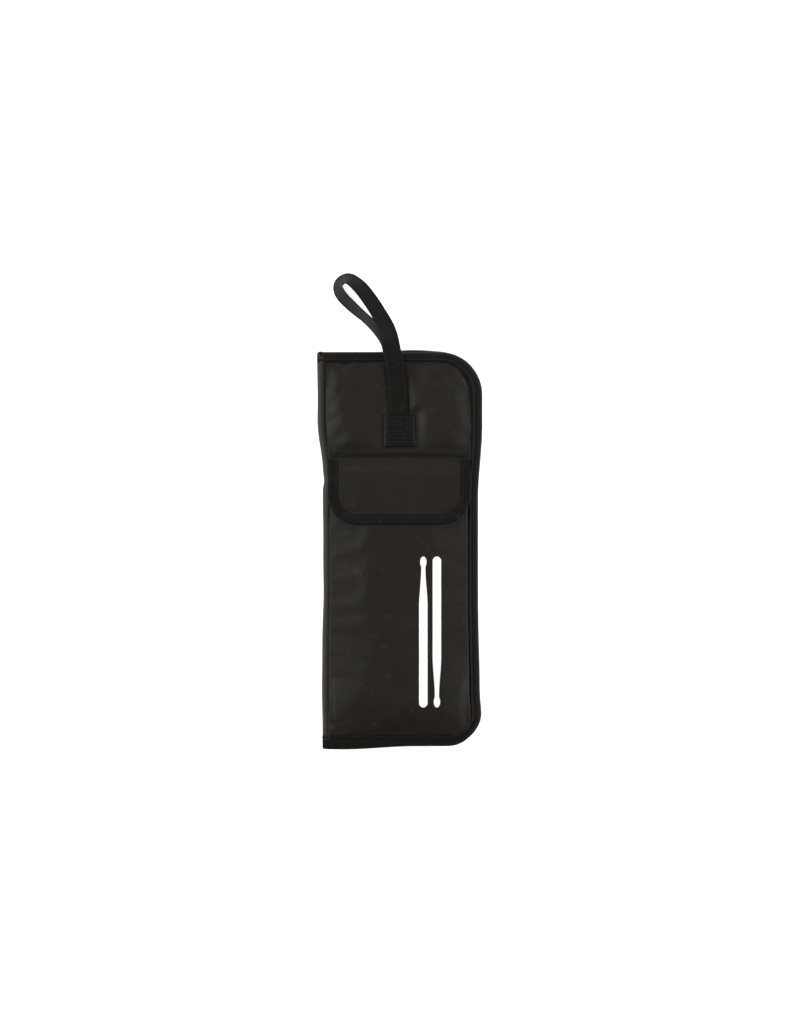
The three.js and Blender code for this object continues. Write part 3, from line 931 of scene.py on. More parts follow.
hem_binding(
    "front_hem_binding",
    "front_half",
    "front_seam_binding",
    insets=(17.5, 15.2, 13.6, 13.1, 13.6, 15.2),
    heights=(21.3, 21.2, 21.5, 22.6, 23.8, 24.1),
)

# ---------------------------------------------------------------- accessory pocket
# One panel of the shell fabric, sewn to the front along the spine, the bottom and the zipped side,
# and cut a little full so that it bellies. Its mouth is bound, and a strip of loop tape is sewn
# below the mouth to hold the flap down.



def box_of(node):
    """The lowest and highest corners of one of the frame's nodes, in millimetres."""
    return [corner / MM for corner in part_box(node)]


POCKET_LOW, POCKET_HIGH = box_of("accessory_pocket")
POCKET_CORNER = 22
POCKET_SEAM_Z = POCKET_LOW[2] + 0.2
POCKET_BELLY = 5.4
POCKET_FOLDS = [
    ((62, -214), (76, -188), 4, 0.9),
    ((40, -240), (70, -214), 7, 0.7),
    ((-70, -232), (-40, -196), 9, 0.6),
    ((-60, 10), (-66, -120), 12, 0.5),
    ((58, -20), (56, -150), 11, 0.5),
    ((-20, -60), (10, -150), 16, -0.5),
    ((-40, -246), (10, -232), 6, 0.45),
]


def pocket_right(y):
    over = np.clip(POCKET_LOW[1] + POCKET_CORNER - y, 0, POCKET_CORNER)
    return POCKET_HIGH[0] - POCKET_CORNER + np.sqrt(POCKET_CORNER**2 - over**2)


def pocket_height(x, y):
    sides = np.minimum(x - POCKET_LOW[0] - 3.5, POCKET_HIGH[0] - 2.6 - x)
    belly = 0.35 * rise(sides, 0, 7) + 0.65 * rise(sides, 0, 32)
    foot = 0.4 * rise(y - POCKET_LOW[1], 0, 7) + 0.6 * rise(y - POCKET_LOW[1], 0, 40)
    folds = fold_height(x, y, POCKET_FOLDS) * rise(sides, 0, 8)
    return POCKET_SEAM_Z + POCKET_BELLY * belly * foot + folds


pocket_rows = rows_between(POCKET_LOW[1], POCKET_HIGH[1], POCKET_CORNER, 0, 4.0)
pocket_ends = settled(pocket_right(pocket_rows) + 0.8, pocket_rows)[:, 0]
pocket_starts = settled(POCKET_LOW[0], pocket_rows)[:, 0]
POCKET_COLUMNS = 42
pocket = panel(
    "pocket_panel", pocket_rows, pocket_starts, pocket_ends, pocket_height, POCKET_COLUMNS
)
relax(pocket, rim(len(pocket_rows), POCKET_COLUMNS), pressure=1.6, slack=0.003, most=1.5)
thicken(pocket, FABRIC)
fit(pocket, shell_fabric, "front_half", "accessory_pocket")
pocket_top = surface_of(pocket)


def draped(rows, top, lift):
    """Rings of x, y points laid on a surface, each line raised by its own lift."""
    rings = np.zeros((len(rows), len(rows[0]), 3))
    for i, row in enumerate(rows):
        for j, (x, y) in enumerate(row):
            rings[i, j] = (x, y, top(x, y) + lift[j])
    return rings


MOUTH = POCKET_HIGH[1]
MOUTH_LEFT, MOUTH_RIGHT = [corner[0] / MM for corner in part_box("pocket_mouth_binding")]
mouth_x = spread(MOUTH_LEFT + 3.6, MOUTH_RIGHT - 2.6, 5)
mouth_y = [MOUTH - 8.2, MOUTH - 4, MOUTH - 0.2, MOUTH + 0.7]
mouth_rows = [[(x, min(y, MOUTH - 0.6)) for y in mouth_y] for x in mouth_x]
mouth_rings = draped(mouth_rows, pocket_top, [0.25, 0.4, 0.4, -0.9])
mouth_rings[:, :, 1] = mouth_y
inner_turn = mouth_rings[:, 2:3] + np.array([0, 0.1, -2.0])
inner_leg = inner_turn + np.array([0, -6, 0.1])
mouth_section = np.concatenate([mouth_rings, inner_turn, inner_leg], axis=1)
mouth = sweep("pocket_mouth", mouth_section, closed=False)
thicken(mouth, BINDING, offset=0)
fit(mouth, binding_tape, "front_half", "pocket_mouth_binding")


def grip_finish():
    """Hook-and-loop tape: a fuzzy pile with rows in it."""
    finish = Finish("grip_tape", Specular_IOR_Level=0.15, Sheen_Weight=0.3, Sheen_Roughness=0.6)
    place = finish.object_place()
    fuzz = finish.noise(place, 1.1, 4, 0.7)
    rows = finish.wave(finish.part(place, "Y"), 2.0)
    colour = finish.mix(finish.ramp(fuzz, 0.35, 0.7), grey(0.008), grey(0.03))
    pile = finish.bump(fuzz * 0.7 + rows * 0.3, 0.4)
    return finish.feed(Base_Color=colour, Roughness=0.75 + fuzz * 0.2, Normal=pile)


grip_tape = grip_finish()
LOOP_LOW, LOOP_HIGH = box_of("pocket_loop_strip")


def grip_strip(name, body, node, top, lift):
    """A strip of hook or loop tape, rounded at its corners and laid on a surface."""
    low, high = box_of(node)
    rows = spread(low[1], high[1], 3.5)
    ends = 1.0 - 0.02 * (np.abs(np.linspace(-1, 1, len(rows))) > 0.9)
    lay = np.vectorize(lambda x, y: top(x, y) + lift)
    made = panel(name, rows, low[0] * ends, high[0] * ends, lay, 28)
    thicken(made, 0.8)
    return fit(made, grip_tape, body, node)


loop_strip = grip_strip("pocket_grip_strip", "front_half", "pocket_loop_strip", pocket_top, 0.75)

# ---------------------------------------------------------------- pocket flap
# A flap of the shell fabric, bound on three sides with wide grosgrain and held at its top by a
# turned seam under a narrow tape. The hook tape on its underside meets the pocket's loop tape.

SEAM_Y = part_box("pocket_flap")[1][1] / MM
FLAP_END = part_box("flap_binding")[0][1] / MM
FLAP_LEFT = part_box("flap_binding")[0][0] / MM
FLAP_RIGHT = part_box("flap_binding")[1][0] / MM
FLAP_CORNER = 34
FLAP_BAND = 12
FLAP_TOP_Z = 35.3
FLAP_SEAM_Z = 27.5


def flap_height(x, y):
    """Down at the seam, level over the pocket, and lower at its bound edges."""
    sides = np.minimum(x - FLAP_LEFT, FLAP_RIGHT - x)
    level = rise(SEAM_Y - y, 1, 25)
    crown = 1.5 * (1 - rise(sides, -4, 34)) + 0.9 * (1 - rise(y - FLAP_END, -4, 30))
    soft = 0.45 * np.sin(x * 0.055 + 0.8) * rise(SEAM_Y - y, 0, 30) + 0.3 * np.sin(x * 0.12 + y * 0.09)
    return FLAP_SEAM_Z + (FLAP_TOP_Z - FLAP_SEAM_Z - crown) * level + soft * 0.7


def flap_half_width(y, inset):
    """How far the bound edge stands from the flap's corner centres at a height, drawn in by inset."""
    over = np.clip(FLAP_END + FLAP_CORNER - y, 0, FLAP_CORNER - inset)
    return np.sqrt((FLAP_CORNER - inset) ** 2 - over**2)


flap_rows = rows_between(FLAP_END + 0.6, SEAM_Y - 0.4, FLAP_CORNER - 0.6, 0, 4.0)
flap_wide = flap_half_width(flap_rows, 0.6)
flap_sheet = panel(
    "flap_sheet",
    flap_rows,
    FLAP_LEFT + FLAP_CORNER - flap_wide,
    FLAP_RIGHT - FLAP_CORNER + flap_wide,
    lambda x, y: flap_height(x, y) + 0.25,
    44,
)
thicken(flap_sheet, 0.8)
fit(flap_sheet, shell_fabric, "flap", "pocket_flap")


def flap_path(inset):
    """Points down the spine side, along the bottom and up the other side of the flap."""
    turns = np.linspace(0, math.pi / 2, 13)
    reach = FLAP_CORNER - inset
    bottom_y = FLAP_END + FLAP_CORNER
    left_x, right_x = FLAP_LEFT + FLAP_CORNER, FLAP_RIGHT - FLAP_CORNER
    down = spread(SEAM_Y - 1.8, bottom_y, 4)
    across = spread(left_x, right_x, 5)
    parts = [np.stack([np.full(down.shape, FLAP_LEFT + inset), down], -1)]
    parts.append(np.stack([left_x - reach * np.cos(turns), bottom_y - reach * np.sin(turns)], -1)[1:])
    parts.append(np.stack([across, np.full(across.shape, FLAP_END + inset)], -1)[1:])
    parts.append(np.stack([right_x + reach * np.sin(turns), bottom_y - reach * np.cos(turns)], -1)[1:])
    parts.append(np.stack([np.full(down.shape, FLAP_RIGHT - inset), down[::-1]], -1)[1:])
    return np.concatenate(parts)


# the binding's section: how far in from the flap's edge, and how far above the fabric
flap_lines = [(FLAP_BAND, 0.45), (FLAP_BAND - 0.5, 0.85), (8, 0.95), (4, 0.95), (1.1, 0.8)]
flap_lines += [(0.1, 0.1), (0.2, -0.9), (2.5, -1.35), (10.5, -1.35)]
flap_band_rings = []
for inset, lift in flap_lines:
    x, y = flap_path(inset).T
    flap_band_rings.append(np.stack([x, y, flap_height(x, y) + lift], -1))
flap_band = sweep("flap_edge_binding", np.stack(flap_band_rings, axis=1), closed=False)
thicken(flap_band, BINDING, offset=0)
fit(flap_band, binding_tape, "flap", "flap_binding")

HOOK_LOW, HOOK_HIGH = box_of("flap_hook_strip")
grip_strip("flap_grip_strip", "flap", "flap_hook_strip", flap_height, -0.6)

STRIP_LOW, STRIP_HIGH = box_of("flap_seam_strip")
seam_x = spread(STRIP_LOW[0] + 1.2, STRIP_HIGH[0] - 0.5, 5)
seam_y = [STRIP_LOW[1] - 0.2, STRIP_LOW[1] + 0.5, STRIP_HIGH[1] - 0.6, STRIP_HIGH[1]]
dip = 1.8 * rise(seam_x, 55, 76)
seam_rows = [[(x, y - d) for y in seam_y] for x, d in zip(seam_x, dip)]
seam_rings = draped(seam_rows, front_top, [0.05, 0.5, 0.5, 0.0])
seam_tape = sweep("flap_top_tape", seam_rings, closed=False)
thicken(seam_tape, 0.6, offset=0)
fit(seam_tape, binding_tape, "front_half", "flap_seam_strip")

# ---------------------------------------------------------------- print on the pocket
# A plain mark in white screen ink, a thin skin on the pocket's fabric: two drum sticks lie side by
# side, one with its tip up and one with its tip down.

PRINT_LOW, PRINT_HIGH = (21.5, -224), (47.5, -51)
STICK_HALF = 4.9
INK = 0.16
BUTT_END = 0.022  # shares of the stick's length: where its butt is round, and where its tip starts
TIP_START = 0.925


def stick_half_width(share):
    """Half the width of a drum stick at a share of its length, from butt to tip."""
    butt = STICK_HALF * min(1, (share / BUTT_END + 0.05) ** 0.5) if share < BUTT_END else STICK_HALF
    neck = STICK_HALF - 2.5 * float(rise(share, 0.66, TIP_START))
    tip = 0
    if share > TIP_START:
        tip = 3.7 * math.sqrt(max(0.0, 1 - ((share - 0.962) / 0.0385) ** 2))
    return max(min(butt, neck) if share < 0.945 else 0, tip, 0.05)


def ink_finish():
    """White screen ink, a little thin where the weave has rubbed it."""
    finish = Finish("print_ink", Specular_IOR_Level=0.3)
    place = finish.object_place()
    worn = finish.noise(place, 3, 4, 0.6)
    colour = finish.mix(finish.ramp(worn, 0.62, 0.8) * 0.3, (0.92, 0.92, 0.91, 1), (0.8, 0.8, 0.78, 1))
    return finish.feed(Base_Color=colour, Roughness=0.55 + worn * 0.1, Normal=finish.bump(worn, 0.03))


stretches = ((0, BUTT_END, 6), (BUTT_END, TIP_START, 60), (TIP_START, 1, 16))
shares = np.unique(np.concatenate([np.linspace(*stretch) for stretch in stretches]))
print_points, print_faces = [], []
for column, flipped in ((PRINT_LOW[0] + 5.2, False), (PRINT_HIGH[0] - 5.2, True)):
    for i, share in enumerate(shares):
        y = PRINT_LOW[1] + (PRINT_HIGH[1] - PRINT_LOW[1]) * (1 - share if flipped else share)
        half = stick_half_width(share)
        first = len(print_points)
        for x in np.linspace(column - half, column + half, 5):
            print_points.append((x, y, pocket_top(x, y) + INK))
        if i:
            for j in range(4):
                print_faces.append((first - 5 + j, first - 4 + j, first + 1 + j, first + j))
pocket_print = link("pocket_print", print_points, print_faces)
face_out(pocket_print)
pocket_print.data.materials.append(ink_finish())
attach(pocket_print, "front_half")

# ---------------------------------------------------------------- webbing patch and hanging loop
# A folded piece of 38 millimetre webbing is box-stitched to the cover over the ends of a 20
# millimetre webbing loop, which comes out of its top, turns over half way and lies past the bag's
# top edge.

PATCH_LOW, PATCH_HIGH = box_of("strap_anchor_patch")
PATCH_LIP = PATCH_HIGH[1] + 1.1
PATCH_Z = 27.7
PATCH_ROW = 4.0


def webbing_finish(name, along_axis, pitch, deep):
    """Ribbed polypropylene webbing: rows of yarn across it and a tight edge."""
    finish = Finish(name, Specular_IOR_Level=0.13)
    place = finish.surface_place()
    row = finish.wave(finish.part(place, along_axis), pitch)
    yarn = finish.wave(finish.part(place, "Y" if along_axis == "X" else "X"), 2.9)
    fuzz = finish.noise(finish.object_place(), 2.2, 4, 0.6)
    colour = finish.mix(row * 0.7 + yarn * 0.3, (0.001, 0.0012, 0.0006, 1), (0.0066, 0.007, 0.0052, 1))
    colour = finish.mix(finish.ramp(fuzz, 0.56, 0.68) * 0.5, colour, grey(0.03))
    height = row * 0.7 + yarn * 0.3
    return finish.feed(Base_Color=colour, Roughness=0.44 + fuzz * 0.15, Normal=finish.bump(height, deep))


patch_webbing = webbing_finish("patch_webbing", "Y", PATCH_ROW, 0.3)
loop_webbing = webbing_finish("loop_webbing", "X", 2.6, 0.3)


def patch_height(x, y):
    """The patch is thick over the loop's ends and thin at its sewn edges."""
    sides = np.minimum(np.minimum(x - PATCH_LOW[0], PATCH_HIGH[0] - x), y - PATCH_LOW[1])
    ribs = 0.2 * np.sin((y - PATCH_LOW[1]) * 2 * math.pi / PATCH_ROW)
    strap = 1.1 * rise(y, 88, 108) * hump(x, -1.5, 12)
    return PATCH_Z + 1.2 * rise(sides, -1, 5) + strap + ribs * rise(sides, 0, 3)


patch_rows = spread(PATCH_LOW[1], PATCH_LIP, 0.8)
patch_left = np.linspace(PATCH_LOW[0], PATCH_LOW[0] + 0.8, len(patch_rows))
patch_right = np.linspace(PATCH_HIGH[0], PATCH_HIGH[0] - 1.0, len(patch_rows))
patch = panel("webbing_patch", patch_rows, patch_left, patch_right, patch_height, 20)
thicken(patch, 1.5)
fit(patch, patch_webbing, "front_half", "strap_anchor_patch")

LOOP_WIDTH = 20.4
LOOP_THICKNESS = 1.5
# x, y and z of the webbing's middle, and how far it leans over, in degrees
LOOP_ROUTE = [
    (-1.5, 111, 28.5, 0), (-1.9, 132, 28.8, 0), (-4.6, 158, 29.4, 0), (-8.8, 184, 30.8, 5),
    (-14.2, 208.2, 31.4, 20), (-24.9, 228.8, 28.8, 28), (-35, 244.5, 26, 30), (-46.3, 259, 22.2, 34),
    (-58.5, 268.6, 17.4, 46), (-68, 266.4, 13.6, 54), (-71.3, 258.8, 11.4, 55), (-67, 249, 10.6, 53),
    (-55.4, 237.2, 11.2, 55), (-39.6, 223.2, 13.6, 62), (-26, 209.8, 17.4, 55),
    (-15.2, 197.2, 22.4, 33), (-9.5, 184.6, 26.5, 9), (-6.6, 172, 27.8, 0), (-4.2, 158, 27.6, 0),
    (-1.9, 132, 27, 0), (-1.5, 111, 26.8, 0),
]  # fmt: skip


def smooth_route(points):
    """A smooth line through the route's points, with nine steps between each two."""
    points = np.array(points, float)
    padded = np.concatenate([2 * points[:1] - points[1:2], points, 2 * points[-1:] - points[-2:-1]])
    line = []
    for i in range(1, len(padded) - 2):
        a, b, c, d = padded[i - 1 : i + 3]
        for t in np.arange(9) / 9:
            bend = 2 * a - 5 * b + 4 * c - d + t * (3 * (b - c) + d - a)
            line.append(b + 0.5 * t * (c - a + t * bend))
    line.append(points[-1])
    return np.array(line)


route = smooth_route(LOOP_ROUTE)
ahead = np.gradient(route[:, :3], axis=0)
ahead /= np.linalg.norm(ahead, axis=1, keepdims=True)
level = np.cross(ahead, (0, 0, 1.0))
level /= np.linalg.norm(level, axis=1, keepdims=True)
over = np.cross(level, ahead)
lean = np.radians(route[:, 3])[:, None]
across = level * np.cos(lean) - over * np.sin(lean)
face = np.cross(across, ahead)
# shares of the width and the thickness: a rolled edge, a groove beside it and a flat middle
upper_side = [(-0.48, 0.38), (-0.44, 0.5), (-0.4, 0.42), (-0.2, 0.5), (0.0, 0.5)]
upper_side += [(-s, t) for s, t in upper_side[-2::-1]]
webbing_section = [(-0.5, 0.0)] + upper_side + [(0.5, 0.0)] + [(-s, -t) for s, t in upper_side]
loop_rings = []
for s, t in webbing_section:
    loop_rings.append(route[:, :3] + across * LOOP_WIDTH * s + face * LOOP_THICKNESS * t)
hanging = sweep("webbing_loop", np.stack(loop_rings, axis=1))
fit(hanging, loop_webbing, "loop", "hanging_loop")

# ---------------------------------------------------------------- back half: panel, foam and lining
# The half that the bag lies on is built like the front: a shell panel outside, a foam pad and a
# lining, with the same tape, coil and piping round three sides.

BACK_INSET = 4.2
BACK_PAD_INSET = 8.0
BACK_FOAM_LOW, BACK_FOAM_HIGH = box_of("back_foam_pad")
BACK_LINING_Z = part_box("back_lining")[1][2] / MM
BACK_COIL_Z = (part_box("back_zipper_coil")[0][2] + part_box("back_zipper_coil")[1][2]) / 2 / MM
BACK_PIPING_Z = 1.3


def back_wave(x, y):
    """The back lies on its middle, and its edges stand a little off the table."""
    sides = np.minimum(x + 92, right_side(y, BACK_INSET) - x)
    edge = np.minimum(sides, np.minimum(TOP - y, y - BOTTOM) - BACK_INSET)
    soft = 0.18 * np.sin(x * 0.06 + y * 0.013) * np.sin(y * 0.035)
    return 0.25 + 0.5 * (1 - rise(edge, 0, 22)) + soft


back_shell = inner_panel("back_shell", BACK_INSET, SPINE_SEAM, 1.0, columns=42, step=4.5)
raise_by(back_shell, back_wave)
thicken(back_shell, FABRIC)
fit(back_shell, shell_fabric, "back_half", "back_outer_panel")

back_foam = inner_panel("back_foam", BACK_PAD_INSET, PAD_LEFT, BACK_FOAM_HIGH[2])
thicken(back_foam, BACK_FOAM_HIGH[2] - BACK_FOAM_LOW[2])
fit(back_foam, foam, "back_half", "back_foam_pad")

back_inner = inner_panel(
    "back_inner_lining", BACK_PAD_INSET, PAD_LEFT, BACK_LINING_Z + 0.1, columns=44, step=4.5, wave=0.2
)
thicken(back_inner, LINING)
fit(back_inner, lining, "back_half", "back_lining")

BACK_TAPE_LINES = [(5.3, 1.4), (3.6, 1.7), (2.3, 3.2), (1.5, 5.4), (1.1, 7.6), (1.0, 9.4), (1.6, 10.6)]
back_tape = rolled_tape("back_tape", BACK_TAPE_LINES, back=True)
thicken(back_tape, TAPE, offset=0)
fit(back_tape, zipper_tape, "back_half", "back_zipper_tape")

coil_row("back_coil", "back_half", "back_zipper_coil", BACK_COIL_Z, back=True)

back_cord_path = at_height(rim_path(2.9, step=4.0, back=True), BACK_PIPING_Z)
back_cord = tube("back_edge_piping", back_cord_path, PIPING_RADIUS)
fit(back_cord, piping_fabric, "back_half", "back_piping")

back_hem = hem_binding(
    "back_hem_binding",
    "back_half",
    "back_seam_binding",
    insets=(5.4, 5.2, 5.6, 7.4, 9.6, 11.0),
    heights=(1.9, 3.2, 4.5, 4.9, 4.9, 4.75),
)

# ---------------------------------------------------------------- stick sleeve
# Inside, a sheet of lining fabric is sewn to the back along both sides, its foot and a line down
# the middle. Its two compartments are cut full enough for four pairs of sticks, and the mouth is
# bound with grosgrain.

SLEEVE_LOW, SLEEVE_HIGH = box_of("stick_sleeve")
SLEEVE_WEB = (SLEEVE_LOW[0] + SLEEVE_HIGH[0]) / 2
SLEEVE_RISE = 14.4
SLEEVE_COLUMNS = 64


def sleeve_height(x, y):
    """Two full compartments between three lines of stitches, flat at the foot."""
    half = (SLEEVE_HIGH[0] - SLEEVE_LOW[0]) / 4
    centre = np.where(x < SLEEVE_WEB, SLEEVE_WEB - half, SLEEVE_WEB + half)
    share = np.clip(np.abs(x - centre) / half, 0, 1)
    belly = (1 - share**3.2) ** 0.6
    foot = rise(y - SLEEVE_LOW[1], -1, 46) ** 0.8
    gathers = 0.35 * np.sin(x * 0.21) * rise(y, -260, -120)
    slack = (0.5 * np.sin(y * 0.045 + x * 0.02) + gathers) * belly
    return BACK_LINING_Z + 0.5 + (SLEEVE_RISE * belly + slack) * foot


sleeve_rows = rows_between(SLEEVE_LOW[1], SLEEVE_HIGH[1] - 0.4, 0, 0, 5.0)
sleeve_foot = 8 * (1 - rise(sleeve_rows - SLEEVE_LOW[1], 0, 12))
sleeve = panel(
    "stick_sleeve_sheet",
    sleeve_rows,
    SLEEVE_LOW[0] + 0.5 + sleeve_foot * 0.3,
    SLEEVE_HIGH[0] - 0.5 - sleeve_foot,
    sleeve_height,
    SLEEVE_COLUMNS,
)
middle_seam = [i * (SLEEVE_COLUMNS + 1) + SLEEVE_COLUMNS // 2 for i in range(len(sleeve_rows))]
sleeve_seams = rim(len(sleeve_rows), SLEEVE_COLUMNS) + middle_seam
relax(sleeve, sleeve_seams, pressure=0.8, slack=0.006, most=0.9, frames=12)
thicken(sleeve, 0.6)
fit(sleeve, lining, "back_half", "stick_sleeve")

sleeve_x = spread(SLEEVE_LOW[0] + 0.5, SLEEVE_HIGH[0] - 0.5, 2.4)
sleeve_lines = [(-9.5, 0.35), (-5, 0.55), (-0.3, 0.45), (0.4, -0.25), (-0.3, -0.95), (-8.5, -1.0)]
sleeve_rings = []
for offset, lift in sleeve_lines:
    y = np.full(sleeve_x.shape, SLEEVE_HIGH[1] + offset)
    sleeve_rings.append(np.stack([sleeve_x, y, np.maximum(sleeve_height(sleeve_x, y) + lift, 4.7)], -1))
sleeve_band = sweep("sleeve_mouth_band", np.stack(sleeve_rings, axis=1), closed=False)
thicken(sleeve_band, 0.45, offset=0)
fit(sleeve_band, binding_tape, "back_half", "sleeve_mouth_binding")

# ---------------------------------------------------------------- spine
# The spine is shell fabric that turns over the long side where the bag has no zipper. It is two
# strips that meet along the middle of the side, each sewn to one half. A lining facing covers each
# strip inside.

SPINE_X = -92.0
SPINE_MIDDLE = 13.0
SPINE_SHORT = 6.0


def spine_strip(name, section):
    """A strip down the whole side, through a section of x and z, slightly uneven along its length."""
    level = spread(BOTTOM + SPINE_SHORT, TOP - SPINE_SHORT, 4.0)
    rings = np.zeros((len(level), len(section), 3))
    for j, (x, z) in enumerate(section):
        # the side wall is longer than the parts that turn over, which end under the tapes
        longer = 4.4 * float(rise(-x, 87, 91.5)) / (level[-1] - level[0])
        rows = level + (level - level.mean()) * 2 * longer
        bulge = 0.35 * np.sin(rows * 0.031 + 1.0) + 0.2 * np.sin(rows * 0.083)
        share = math.sin(math.pi * min(max(z / 26.0, 0.0), 1.0))
        line = settled(x, rows)
        line[:, 0] -= bulge * share
        rings[:, j] = at_height(line, z)
    made = sweep(name, rings, closed=False)
    thicken(made, FABRIC, offset=0)
    return dress(made, shell_fabric)


def spine_facing(name, section):
    """A lining strip inside the spine: flat where the outer strip swells, and never outside it."""
    rows = spread(BOTTOM + 2.4, TOP - 2.4, 5.0)
    outer = settled(SPINE_X, rows)
    rings = np.zeros((len(rows), len(section), 3))
    for j, (x, z) in enumerate(section):
        rings[:, j] = np.stack([np.maximum(x, outer[:, 0] + 1.3), outer[:, 1], np.full(rows.shape, z)], -1)
    made = sweep(name, rings, closed=False)
    thicken(made, LINING, offset=0)
    return dress(made, lining)


def turn_over(wide, start_z, high):
    """A quarter turn of the section, from the panel's edge to the side wall."""
    angles = np.linspace(0, math.pi / 2, 8)
    return [(SPINE_X + 0.3 + wide * (1 - math.sin(a)), start_z + high * (1 - math.cos(a))) for a in angles]


meeting = (SPINE_X - 0.1, SPINE_MIDDLE)
upper_section = [(-84.0, 25.5), (-85.2, 25.75)] + turn_over(5.6, 25.6, -6.5) + [(SPINE_X, 16.4), meeting]
lower_section = [(-84.0, 0.9), (-86.0, 0.75)] + turn_over(4.4, 0.8, 5.2) + [(SPINE_X, 9.0), meeting]

spine_front = spine_strip("spine_front_strip", upper_section)
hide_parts("spine_panel")
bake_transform(spine_front)
spine_back = spine_strip("spine_back_strip", lower_section)
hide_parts("spine_panel")
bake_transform(spine_back)

facing = [(-84.0, 4.3), (-87.4, 4.2), (-89.6, 4.6), (-90.6, 6.0)]
facing += [(-90.9, 8.0), (-90.9, 11.0), (-90.9, 14.0)]
facing_back = spine_facing("spine_back_facing", facing)
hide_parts("spine_panel")
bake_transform(facing_back)
facing_front = spine_facing("spine_front_facing", [(x + 0.1, 25.8 - z) for x, z in facing])
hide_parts("spine_panel")
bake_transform(facing_front)

# ---------------------------------------------------------------- end tabs
# A short piece of fine webbing is folded over each end of the zipper, where the tapes of both
# halves meet the spine. It is sewn through the spine's ends.

tab_webbing = webbing_finish("tab_webbing", "X", 1.1, 0.2)


def end_tab(name, node):
    """A folded tab: two legs along the side and a rounded turn that faces outwards."""
    low, high = box_of(node)
    turns = np.linspace(-math.pi / 2, math.pi / 2, 9)
    middle, half = (low[1] + high[1]) / 2, (high[1] - low[1]) / 2 - 0.5
    section = [(high[0], middle - half)]
    section += [(low[0] + 1.4 - 1.4 * math.cos(t), middle + half * math.sin(t)) for t in turns]
    section += [(high[0], middle + half)]
    rings = []
    for z in spread(low[2], high[2], 1.0):
        rings.append([(x, y, z) for x, y in settle(section)])
    made = sweep(name, np.array(rings), closed=False)
    thicken(made, 0.9, offset=0)
    fit(made, tab_webbing, "spine", node)


end_tab("zip_tab_top", "zip_end_tab_top")
end_tab("zip_tab_bottom", "zip_end_tab_bottom")

# ---------------------------------------------------------------- zipper slider and pull
# A cast slider with a black finish worn to bare metal on its edges: two plates joined by a post,
# and a bridge that holds the long pull, which hangs flat along the coil.

SLIDER_LOW, SLIDER_HIGH = box_of("zipper_slider")
PULL_LOW, PULL_HIGH = box_of("slider_pull")
SLIDER_Z = (SLIDER_LOW[2] + SLIDER_HIGH[2]) / 2
OUTER_PLATE = (-270.1, -268.9)
INNER_PLATE = (-265.9, -264.9)
POST = (-269.2, -265.6)
PIN_X, PIN_Y = -76.0, -271.4
BRIDGE_CHEEKS = ((9.3, 10.6), (15.6, 16.9))


def metal_finish():
    """Black-coated zinc, worn brighter in small patches."""
    finish = Finish("slider_metal", Specular_IOR_Level=0.35)
    worn = finish.noise(finish.object_place(), 1.8, 5, 0.7)
    bare = finish.ramp(worn, 0.56, 0.68)
    colour = finish.mix(bare, grey(0.008), grey(0.04))
    dents = finish.bump(worn, 0.04)
    return finish.feed(Base_Color=colour, Metallic=bare * 0.5, Roughness=0.42 + worn * 0.25, Normal=dents)


slider_metal = metal_finish()


def plate(outline, low, high, axis, bevel):
    """A bmesh of a flat plate: an outline of two coordinates, between two heights along an axis."""
    shape = bmesh.new()
    rings = []
    for level in (low, high):
        ring = []
        for a, b in outline:
            place = {"y": (a, level, b), "z": (a, b, level)}[axis]
            ring.append(shape.verts.new(place))
        rings.append(ring)
    shape.faces.new(rings[0])
    shape.faces.new(rings[1][::-1])
    count = len(outline)
    for i in range(count):
        shape.faces.new((rings[0][i], rings[1][i], rings[1][(i + 1) % count], rings[0][(i + 1) % count]))
    bmesh.ops.recalc_face_normals(shape, faces=shape.faces)
    sharp = [e for e in shape.edges if len(e.link_faces) == 2 and e.calc_face_angle(0) > 1.0]
    bmesh.ops.bevel(shape, geom=sharp, offset=bevel, segments=2, affect="EDGES", profile=0.5)
    return shape


def joined(name, shapes):
    """One mesh from several closed shapes in millimetres."""
    whole = bmesh.new()
    for shape in shapes:
        part = bpy.data.meshes.new("part")
        shape.to_mesh(part)
        shape.free()
        whole.from_mesh(part)
        bpy.data.meshes.remove(part)
    bmesh.ops.scale(whole, vec=(MM, MM, MM), verts=whole.verts)
    mesh = bpy.data.meshes.new(name)
    whole.to_mesh(mesh)
    whole.free()
    mesh.polygons.foreach_set("use_smooth", [False] * len(mesh.polygons))
    made = bpy.data.objects.new(name, mesh)
    bpy.context.scene.collection.objects.link(made)
    return made


def rounded_end(x0, x1, half, middle, nose):
    """A plate's outline: parallel sides, square shoulders at x1 and a rounded nose at x0."""
    turns = np.linspace(math.pi / 2, 3 * math.pi / 2, 9)
    outline = [(x0 + nose + nose * math.cos(t), middle + half * math.sin(t)) for t in turns]
    return outline + [(x1, middle - half * 0.86), (x1, middle + half * 0.86)]


def add_parts(whole, parts):
    """Adds the meshes of small parts to a piece, and removes the parts."""
    shape = bmesh.new()
    shape.from_mesh(whole.data)
    for part in parts:
        shape.from_mesh(part.data)
        bpy.data.objects.remove(part)
    shape.to_mesh(whole.data)
    shape.free()


